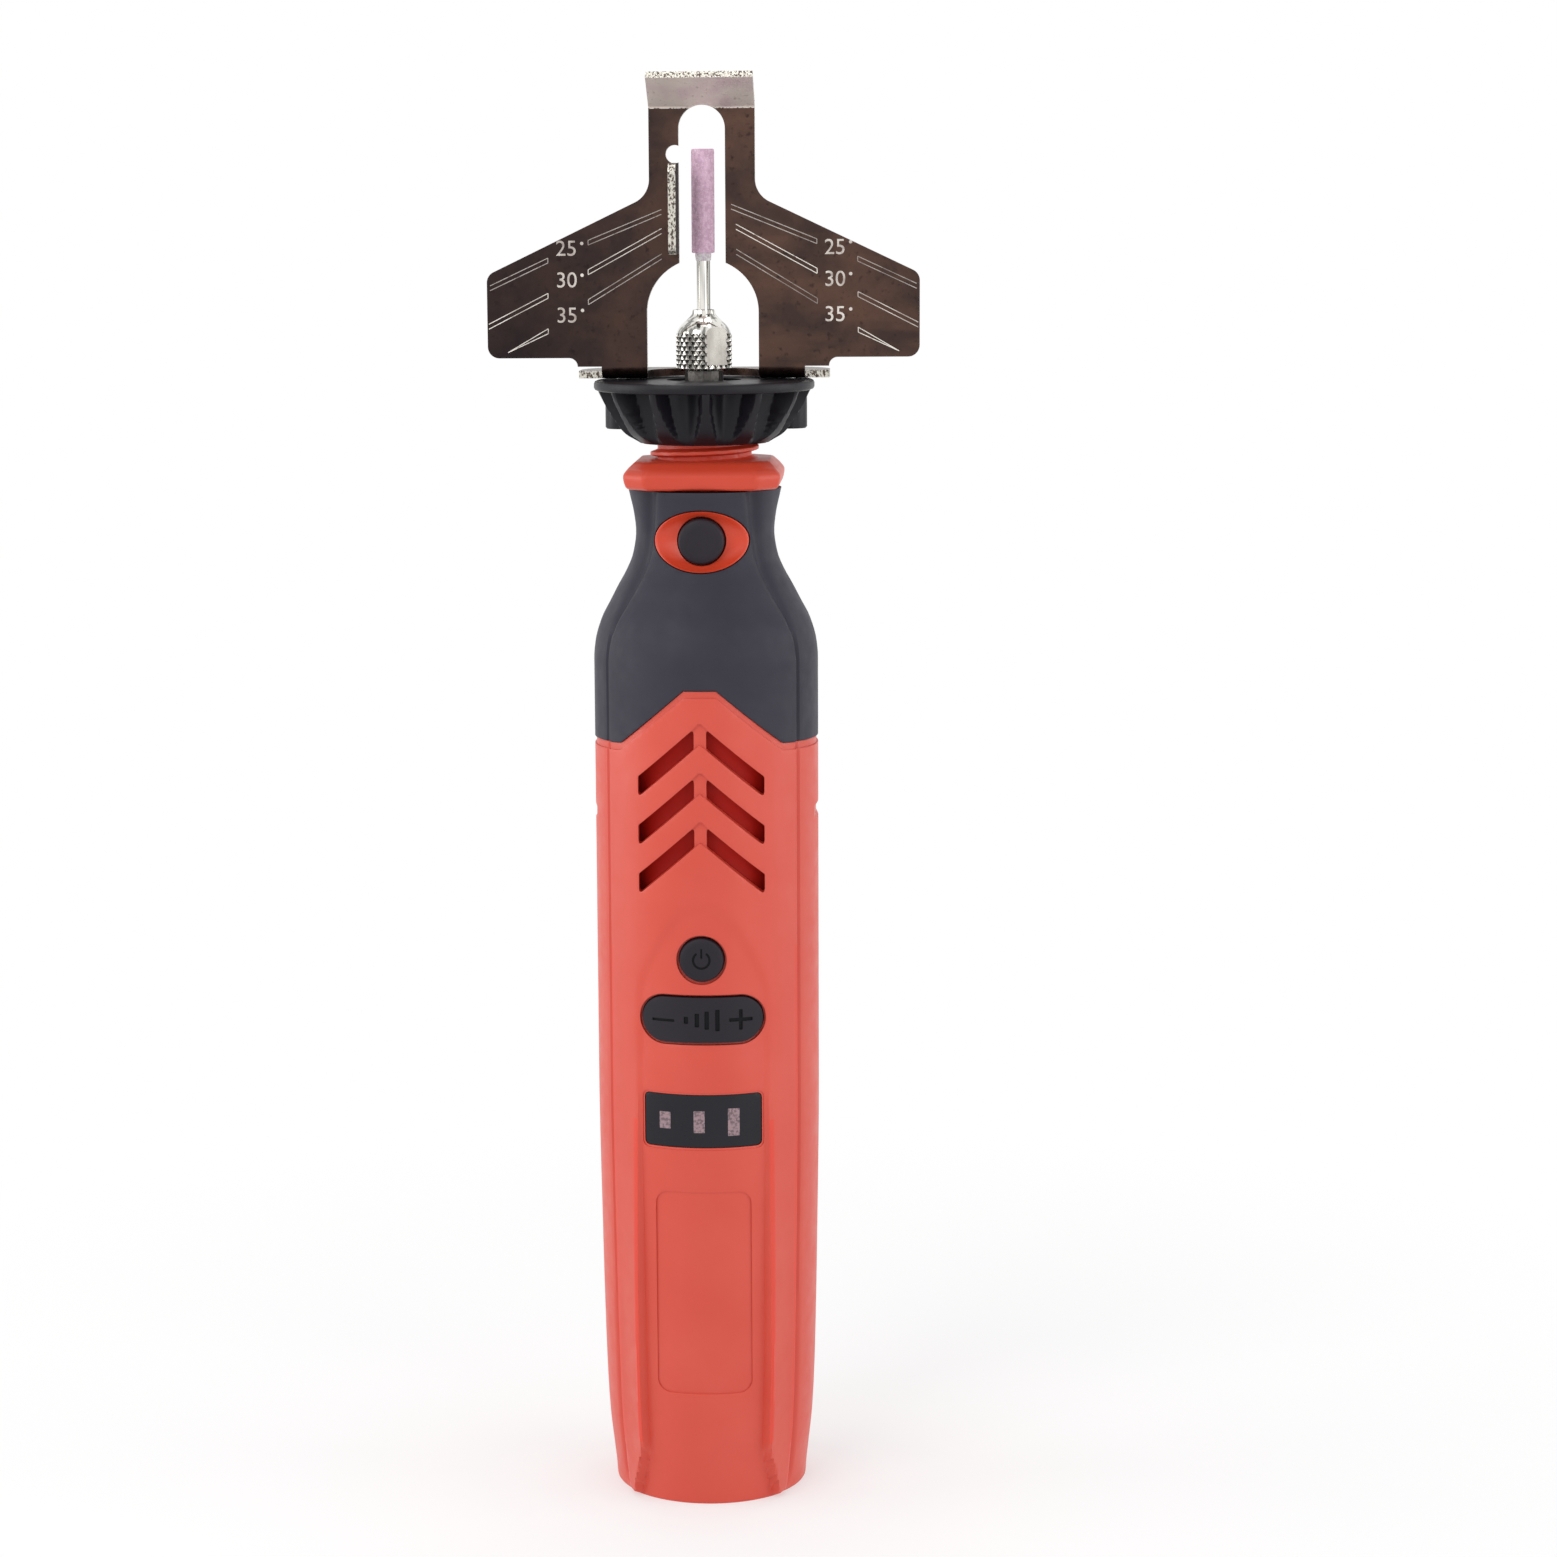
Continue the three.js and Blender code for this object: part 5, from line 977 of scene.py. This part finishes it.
def rocker_piece():
    half = [side - BUTTON_GAP for side in ROCKER_HALF]
    outline = rounded_box(*half, half[1] - 0.02, (0, ROCKER_HEIGHT), 18)
    rocker = curved_outline(outline, 0.18, 2.2, "rocker")
    soften(rocker, 0.35, 3, 40)
    signs = rocker_signs()
    cut(rocker, *[without_skin(prism(sign, -OUTSIDE, -6), 0.14, 82, 95) for sign in signs])
    dress(rocker, "rocker", "button_plastic", "speed_rocker", angle=35)
    slabs = united([curved_outline(sign, -0.06, 0.2, "rocker_sign") for sign in signs])
    dress(slabs, "rocker", "button_plastic", finish="symbol_dark")


def window_pieces():
    outline = rounded_box(*WINDOW_HALF, 0.85, (0, WINDOW_HEIGHT), 5)
    lens = soften(curved_outline(outline, -0.3, 1.3, "charge_lens"), 0.12, 2, 40)
    dress(lens, "housing", "lens", "charge_window")
    for i, (x, width, height) in enumerate(LIGHT_BARS):
        outline = rounded_box(width, height, 0.12, (x, WINDOW_HEIGHT - 0.1 * i), 2)
        bar = curved_outline(outline, -0.26, 0.12, f"light_bar_{i + 1}")
        dress(bar, "housing", "light")


# Nose and cup

def collar_ring(z, half):
    """A square with cut corners."""
    short = half - 3.7
    corners = [(short, -half), (half, -short), (half, short), (short, half)]
    corners += [(-x, -y) for x, y in corners]
    return [(x, y, z) for x, y in corners]


def nose_piece():
    steps = [(0, 12.9), (0.5, 13.2), (1.2, 13.42), (1.9, 13.54), (2.4, 13.54), (2.8, 13.38),
             (3.3, 13), (3.8, 12.52), (4.3, 12), (4.65, 11.6), (4.8, 11.2)]
    collar = loft("nose", [collar_ring(COLLAR_BOTTOM + up, half) for up, half in steps])
    soften(collar, 0.9, 4, 32)
    step, edge = COLLAR_BOTTOM + 1, 0.6
    core = turned([(0, 160), (8.3, 160), (8.3, step), (THREAD_ROOT, step),
                   (THREAD_ROOT, NOSE_TOP - edge), (THREAD_ROOT - edge, NOSE_TOP), (0, NOSE_TOP)], 96)
    join(collar, core, thread())
    cut(collar, turned([(0, 150), (6.2, 150), (6.2, 187), (6.7, 187), (6.7, 200), (0, 200)]))
    dress(collar, "housing", "red_plastic", "threaded_nose", finish="nose_plastic", angle=32)


def thread():
    """One helical ridge round the nose, which fades out towards the top."""
    low, high, fade_length = COLLAR_TOP - 0.4, NOSE_TOP - 0.5, 1.4

    def radius(z, share):
        phase = ((z - low) / THREAD_PITCH - share + 0.35) % 1
        ridge = smoothstep(0.12, 0.34, phase) * (1 - smoothstep(0.56, 0.86, phase))
        fade = 1 - smoothstep(high - fade_length, high, z)
        return THREAD_ROOT - 0.05 + (THREAD_CREST - THREAD_ROOT) * ridge * fade

    return loft("thread", rings_of(levels(low, high, int((high - low) / 0.12)), 96, radius))


def cup_skin(ceiling):
    """The cup's outside: twelve ribs that start wide and low at its foot."""
    shares = (0, 0.05, 0.16, 0.48, 0.72, 1)
    crest_at, half_at, flute_at = (monotone(list(zip(shares, values))) for values in (
        (0.585, 0.625, 0.715, 0.835, 0.905, 0.972),
        (13.5, 11.5, 8.5, 4.2, 2.7, 2),
        (0.575, 0.6, 0.625, 0.645, 0.655, 0.665),
    ))
    height = ceiling + 0.3 - CUP_BOTTOM

    def radius(z, turn_share):
        share = (z - CUP_BOTTOM) / height
        crest, flute, half = CUP_RIM * crest_at(share), CUP_RIM * flute_at(share), half_at(share)
        aside = abs((360 * turn_share + 15) % 30 - 15)
        drop = smoothstep(half * 0.75, half * 0.75 + 2.6, aside)
        return crest - (crest - flute) * (0.72 * drop + 0.28 * smoothstep(half, 15, aside))

    heights = levels(CUP_BOTTOM, CUP_BOTTOM + height, 30)
    return loft("cup", rings_of(heights, 30 * CUP_RIBS, radius, radians(CUP_TURN - 90)))


def at_guide_screws(profile, segments):
    x, y = GUIDE_SCREW
    return [turned(profile, segments, side * x, y) for side in (-1, 1)]


def cup_piece():
    ceiling = CUP_TOP - 1.75
    cup = cup_skin(ceiling)
    rim = turned([
        (0, ceiling), (18.5, ceiling), (18.95, ceiling + 0.18), (CUP_RIM, ceiling + 0.5),
        (CUP_RIM, CUP_TOP - 0.55), (18.98, CUP_TOP - 0.18), (18.6, CUP_TOP), (0, CUP_TOP),
    ], 144)
    boss = [(0, 189), (2.85, 189), (3.1, 189.3), (3.1, 196.2), (0, 196.2)]
    join(cup, rim, *at_guide_screws(boss, 40))
    cut(cup, turned(rod(9.75, 180, ceiling), 80), turned(rod(6.5, 190, 210), 80),
        *at_guide_screws(rod(1.5, 190, 210), 32))
    dress(cup, "guide", "black_plastic", "guide_cup", angle=34)


# Guide plate

def plate_outline():
    slope = tan(radians(WING_SLOPE))
    top = WING_BOTTOM + WING_SIDE
    neck_z = top + (WING_HALF - NECK_HALF) * slope
    turn = 90 - WING_SLOPE
    reach = NECK_FILLET * tan(radians(turn / 2))
    sharp = WING_CORNER * tan(radians(turn / 2))
    half = [
        (FOOT_HALF, FLANGE_BOTTOM + BEND_RADIUS),
        *arc(FOOT_HALF + FOOT_FILLET, WING_BOTTOM - FOOT_FILLET, FOOT_FILLET, 180, 90),
        *arc(WING_HALF - WING_CORNER, WING_BOTTOM + WING_CORNER, WING_CORNER, -90, 0),
        *arc(WING_HALF - WING_CORNER, top - sharp, WING_CORNER, 0, turn),
        *arc(NECK_HALF + NECK_FILLET, neck_z + reach, NECK_FILLET, 180 + turn, 180, 16),
        (NECK_HALF, LIP_CREASE),
    ]
    return half + mirrored(half[::-1], -1)


def slot_outline():
    top = LIP_CREASE + 0.35
    meet = degrees(acos(SLOT_HALF / BOTTLE_HALF))
    return [
        (-BOTTLE_HALF, 190), (BOTTLE_HALF, 190),
        *arc(0, BOTTLE_CENTRE, BOTTLE_HALF, 0, meet, 18, BOTTLE_ARCH),
        *arc(0, top - SLOT_HALF, SLOT_HALF, 0, 180, 28),
        *arc(0, BOTTLE_CENTRE, BOTTLE_HALF, 180 - meet, 180, 18, BOTTLE_ARCH),
    ]


def bend_outline():
    centre, foot = BEND_RADIUS - PLATE_FRONT, FLANGE_BOTTOM + BEND_RADIUS
    return [
        (-PLATE_FRONT, foot + 2), *arc(centre, foot, BEND_RADIUS, 180, 270, 12),
        (centre + 2, FLANGE_BOTTOM), (centre + 2, FLANGE_TOP),
        *arc(centre, foot, BEND_RADIUS - SHEET, 270, 180, 8), (-PLATE_FRONT + SHEET, foot + 2),
    ]


def lip_outline():
    """The lip seen from the side, with a small round bend at its crease."""
    bend = radians(LIP_BEND)
    s, c = sin(bend), cos(bend)
    inner = 0.5
    centre = (-PLATE_FRONT - inner, LIP_CREASE - inner * tan(bend / 2))
    outer = arc(*centre, inner + SHEET, 0, LIP_BEND, 8)
    small = arc(*centre, inner, LIP_BEND, 0, 8)
    tip = (-PLATE_FRONT - LIP_LENGTH * s, LIP_CREASE + LIP_LENGTH * c)
    far_tip = (tip[0] + SHEET * c, tip[1] + SHEET * s)
    foot = [(-PLATE_FRONT, LIP_CREASE - 3), (-PLATE_FRONT + SHEET, LIP_CREASE - 3)]
    return foot[1:] + outer + [far_tip, tip] + small + foot[:1]


def flange_outline():
    front = BEND_RADIUS - PLATE_FRONT
    cx, cy = FOOT_HALF - FLANGE_CORNER, FLANGE_DEPTH - FLANGE_CORNER
    return [
        (-FOOT_HALF, front), (FOOT_HALF, front),
        *arc(cx, cy, FLANGE_CORNER, 0, 90, 14), *arc(-cx, cy, FLANGE_CORNER, 90, 180, 14),
    ]


def tab_outline():
    back, tip = -PLATE_FRONT + SHEET, -PLATE_FRONT - TAB_REACH
    low, corner = TAB_TOP - TAB_LENGTH, 1.6
    return [
        (back, low), (back, TAB_TOP),
        *arc(tip + corner, TAB_TOP - corner, corner, 90, 180, 8),
        *arc(tip + corner, low + corner, corner, 180, 270, 8),
    ]


def plate_piece():
    plate = prism(plate_outline(), -PLATE_FRONT, -PLATE_FRONT + SHEET, name="plate")
    join(
        plate,
        prism(bend_outline(), -BEND_HALF, BEND_HALF, "X"),
        prism(lip_outline(), -NECK_HALF, NECK_HALF, "X"),
        prism(flange_outline(), FLANGE_BOTTOM, FLANGE_TOP, "Z"),
    )
    cut(plate, prism(slot_outline(), -OUTSIDE, 1), turned(rod(NOTCH_RADIUS, 190, 200.1), 96),
        *at_guide_screws(rod(1.45, 190, 202), 32))
    join(plate, prism(tab_outline(), -SLOT_HALF - SHEET, -SLOT_HALF, "X"))
    relief = rod(RELIEF_RADIUS, 0, OUTSIDE)
    cut(plate, turned_front(relief, -SLOT_HALF - SHEET / 2, TAB_TOP + RELIEF_RADIUS, 40))
    soften(plate, 0.1, 2, 50)
    coat(plate, "dark_sheet", "sheared_edge", "lip_reflection_sheet", "tab_shade_sheet")
    paint_plate(plate)
    dress(plate, "guide", "dark_sheet", "guide_plate", angle=30)


def paint_plate(plate):
    """Sheared edges are bright; the face of the bent lip gets a painted reflection, a pale pinkish sheen, and
    the tab's inner face a painted shade, a dark dull copy of the sheet.
    """
    sheet, sheared, lip, tab_shade = range(4)
    crease, foot = LIP_CREASE * MM, (FLANGE_BOTTOM + BEND_RADIUS) * MM
    bend = radians(LIP_BEND)
    lip_normal = Vector((0, -cos(bend), -sin(bend)))
    for face in plate.data.polygons:
        n, c = face.normal, face.center
        on_tab = c.y < -(PLATE_FRONT + 0.3) * MM and foot < c.z < crease - 2 * MM
        kind = sheet
        if on_tab:
            # The tab's inner face gets the dark painted shade
            kind = tab_shade if n.x > 0.8 else sheet if n.x < -0.8 else sheared
        elif c.z > crease - 0.5 * MM:
            # The lip's face gets the painted reflection
            kind = lip if abs(n.dot(lip_normal)) > 0.75 else sheared
        elif c.z < foot and abs(c.x) > BEND_HALF * MM and n.y < -0.8:
            kind = sheared
        elif c.z < foot and hypot(c.x, c.y) < (NOTCH_RADIUS + 0.1) * MM:
            kind = sheet
        elif c.z < (FLANGE_TOP + 0.02) * MM and c.y > -0.4 * MM:
            kind = sheet if abs(n.z) > 0.6 else sheared
        elif abs(n.y) < 0.5 and (abs(n.x) > 0.3 or c.z > foot):
            kind = sheared
        face.material_index = kind


# For each angle: start, left end and right end of the inner band, start and end of the outer one
MARK_BANDS = [
    [(19.7, 221.35), (7, 226.49), (5, 227.31), (26.7, 218.35), (36.8, 213.66)],
    [(19.74, 216.31), (7, 223.25), (5.8, 223.9), (26.75, 212.32), (37.1, 207.06)],
    [(19.77, 211.19), (7, 218.93), (5.84, 219.64), (26.79, 206.25), (33.82, 202.59)],
]
MARK_DEPTH = (-PLATE_FRONT - 0.03, -PLATE_FRONT + 0.02)


def band_outline(start, end, half):
    """A band between two points whose ends are upright."""
    (x0, z0), (x1, z1) = start, end
    rise = half / cos(atan2(z1 - z0, abs(x1 - x0)))
    return [(x0, z0 - rise), (x1, z1 - rise), (x1, z1 + rise), (x0, z0 + rise)]


def marks():
    """Double lines etched at 25, 30 and 35 degrees, with their numbers."""
    line, half = 0.14, 0.375
    strips = {"bright_mark": [], "faint_mark": []}
    for side in (-1, 1):
        for number, (near, left, right, far, end) in enumerate(MARK_BANDS):
            for part, ends in enumerate(((near, left if side < 0 else right), (far, end))):
                low0, low1, high1, high0 = band_outline(*ends, half)
                if number == 2 and part == 1:
                    low1 = high1 = end
                kind = "bright_mark" if number and part or number == 1 else "faint_mark"
                for pair in ((low0, low1), (high0, high1), (low0, high0)):
                    strips[kind].append(stroke(*mirrored(pair, side), line))
    for (kind, strip), name in zip(strips.items(), ("etched_mark", "etched_faint")):
        lines = united(strip)
        lines.name = name
        dress(lines, "guide", "nickel", finish=kind)
    number = 0
    for text, z in (("25", 220.27), ("30", 214.86), ("35", 208.84)):
        for x in (-23.15, 23.15):
            number += 1
            piece = lettering(f"number_{number}", text, x - 0.35, z, 3.75)
            dot = prism(arc(x + 2.35, z + 0.95, 0.3, 0, 360, 14)[:-1], *MARK_DEPTH, name=f"degree_{number}")
            for made in (piece, dot):
                dress(made, "guide", "nickel", finish="bright_mark")


def stroke(start, end, width):
    a, b = Vector(start), Vector(end)
    across = Vector((-(b - a).y, (b - a).x)).normalized() * width / 2
    return prism([tuple(p) for p in (a + across, a - across, b - across, b + across)], *MARK_DEPTH)


def lettering(name, text, x, z, size):
    curve = bpy.data.curves.new(name, "FONT")
    curve.body = text
    curve.size = size * MM
    curve.align_x = curve.align_y = "CENTER"
    curve.extrude = 0.02 * MM
    curve.resolution_u = 6
    word = add_object(name + "_font", curve)
    bpy.context.view_layer.update()
    mesh = evaluated(word)
    bpy.data.objects.remove(word, do_unlink=True)
    place = Matrix.Translation((x * MM, -(PLATE_FRONT + 0.01) * MM, z * MM))
    mesh.transform(place @ Matrix.Rotation(pi / 2, 4, "X"))
    return outward(add_object(name, mesh))


# Nut, shank and stone

def nut_skin(bottom, top, depth):
    """The nut's rings: a chamfer, the diamond knurl between two heights, and the dome."""
    diamonds, diamond_height = 24, 1.55
    plain = {NUT_BOTTOM + up: r for up, r in (
        (0, 4.25), (0.18, 4.5), (6.45, 4.66), (6.75, 4.62), (7.2, 4.42), (7.7, 4.05), (8.15, 3.6),
        (8.7, 3), (9.15, 2.5), (9.5, 2.18), (9.75, 2), (10.05, 1.95), (10.35, 1.9), (10.5, 1.75),
    )}

    def radius(z, share):
        if z in plain:
            return plain[z]
        climb = (z - bottom) / diamond_height
        ridges = [abs((diamonds * share + way) % 1 * 2 - 1) for way in (climb, -climb)]
        return NUT_RADIUS - depth * max(ridges) ** 1.3

    return rings_of(sorted([*plain, *levels(bottom, top, 72)]), diamonds * 10, radius)


def nut_piece():
    bottom, top, depth = NUT_BOTTOM + 0.45, NUT_BOTTOM + 6.3, 0.36
    nut = loft("nut", nut_skin(bottom, top, depth))
    cut(nut, turned([(0, 190), (3.6, 190), (3.6, 205.7), (1.45, 208.4), (1.45, 212), (0, 212)], 48))
    flat_turn = radians(NUT_FLAT_DEGREES)
    for turn in (0, pi):
        flat = prism(rounded_box(6, 8, 0.6, (0, NUT_BOTTOM + 9), 4), NUT_FLAT_HALF, 12)
        flat.data.transform(Matrix.Rotation(flat_turn + turn, 4, "Z"))
        cut(nut, flat)
    coat(nut, "nickel", "groove_patina_and_shade_nickel", "satin_nickel_painted_streaks")
    for face in nut.data.polygons:
        n = face.normal
        x, y, z = face.center / MM
        deep = bottom < z < top and hypot(x, y) < NUT_RADIUS - 0.78 * depth
        outside = n.x * x + n.y * y > 0
        flat_face = abs(n.x * sin(flat_turn) - n.y * cos(flat_turn)) > 0.999
        face.material_index = 2 if flat_face else 1 if deep and outside else 0
    dress(nut, "nut", "nickel", "collet_nut", angle=24)


def bit_pieces():
    shank = turned([(0, 193.8), (1.1, 193.8), (1.175, 193.9), (1.175, 218.2), (0, 218.2)], 48, name="shank")
    dress(shank, "bit", "nickel", "stone_shank", angle=40)
    top = STONE_BOTTOM - 0.02
    boss = turned([(0, 218.1), (1.2, 218.1), (1.32, 218.35), (1.38, 218.9), (1.4, top), (0, top)],
                  40, name="cement_boss")
    dress(boss, "bit", "stone", finish="cement", angle=40)
    chance = random.Random(7)
    profile = [(0, STONE_BOTTOM), (1.85, STONE_BOTTOM), (1.98, STONE_BOTTOM + 0.15)]
    for z in levels(STONE_BOTTOM + 0.15, STONE_TOP - 0.2, 60)[1:-1]:
        profile.append((1.99 + chance.uniform(-0.012, 0.01), z))
    profile += [(1.96, STONE_TOP - 0.15), (1.82, STONE_TOP), (0, STONE_TOP)]
    dress(turned(profile, name="stone"), "bit", "stone", "grinding_stone", angle=40)


# Screws

def finish_head(head, place, long, wide, low, high, axis, body, node):
    """Cuts two crossed slots in a screw's head and dresses it."""
    for half in ((long, wide), (wide, long)):
        cut(head, prism(rounded_box(*half, 0.1, place, 2), low, high, axis))
    dress(head, body, "steel", node, angle=40)


def case_screws():
    """Pan heads in their wells at the back, with cross recesses."""
    profile = [(0, -10.15), (1.2, -10.12), (1.9, -9.9), (2.3, -9.4), (2.4, -8.9), (2.4, -8.55), (0, -8.55)]
    for level, (x, z) in CASE_SCREWS.items():
        for side, word in ((-1, "left"), (1, "right")):
            head = turned_front(profile, side * x, z, 40, f"case_head_{level}_{word}")
            node = f"case_screw_{level}_{word}"
            finish_head(head, (side * x, z), 1.4, 0.32, 9.4, 12, "Y", "housing", node)


def guide_screws():
    profile = [(0, 200.85), (1.3, 200.82), (2.1, 200.55), (2.5, 200.1), (2.6, 199.6), (2.6, 199.36),
               (1.2, 199.36), (1.2, 193), (0, 193)]
    x, y = GUIDE_SCREW
    for side, word in ((-1, "left"), (1, "right")):
        head = turned(profile, 40, side * x, y, f"guide_head_{word}")
        finish_head(head, (side * x, y), 1.5, 0.34, 200.1, 203, "Z", "guide", f"guide_screw_{word}")


def dress_nodes():
    """Finishes for the CAD nodes that stay as they are, by their name or their slot."""
    # The spindle gets the dark groove nickel as painted shade, for it sits in shade under the nut
    by_name = {"motor_can": "can", "motor_end_bell": "black_plastic", "spindle": "groove_patina_and_shade_nickel"}
    for row in frame["record"]["subparts"]:
        name = row["node"]
        coat(frame["nodes"][name], by_name.get(name, row["material_slot"]))


def main():
    SCENE.view_settings.view_transform = "Standard"
    make_camera()
    make_light()
    make_stage()
    make_finishes()
    dress_nodes()
    dress(paint_crest_highlights(front_shell()), "housing", "red_plastic", "housing_front")
    dress(back_shell(), "housing", "red_plastic", "housing_back")
    for front, node in ((True, "grip_front"), (False, "grip_back")):
        dress(grip(front), "housing", "rubber", node)
    dress(vent_screen(), "housing", "red_plastic", finish="inside_red")
    for build in (
        lock_pieces, power_piece, rocker_piece, window_pieces, nose_piece, cup_piece, plate_piece,
        marks, nut_piece, bit_pieces, case_screws, guide_screws,
    ):
        build()


main()
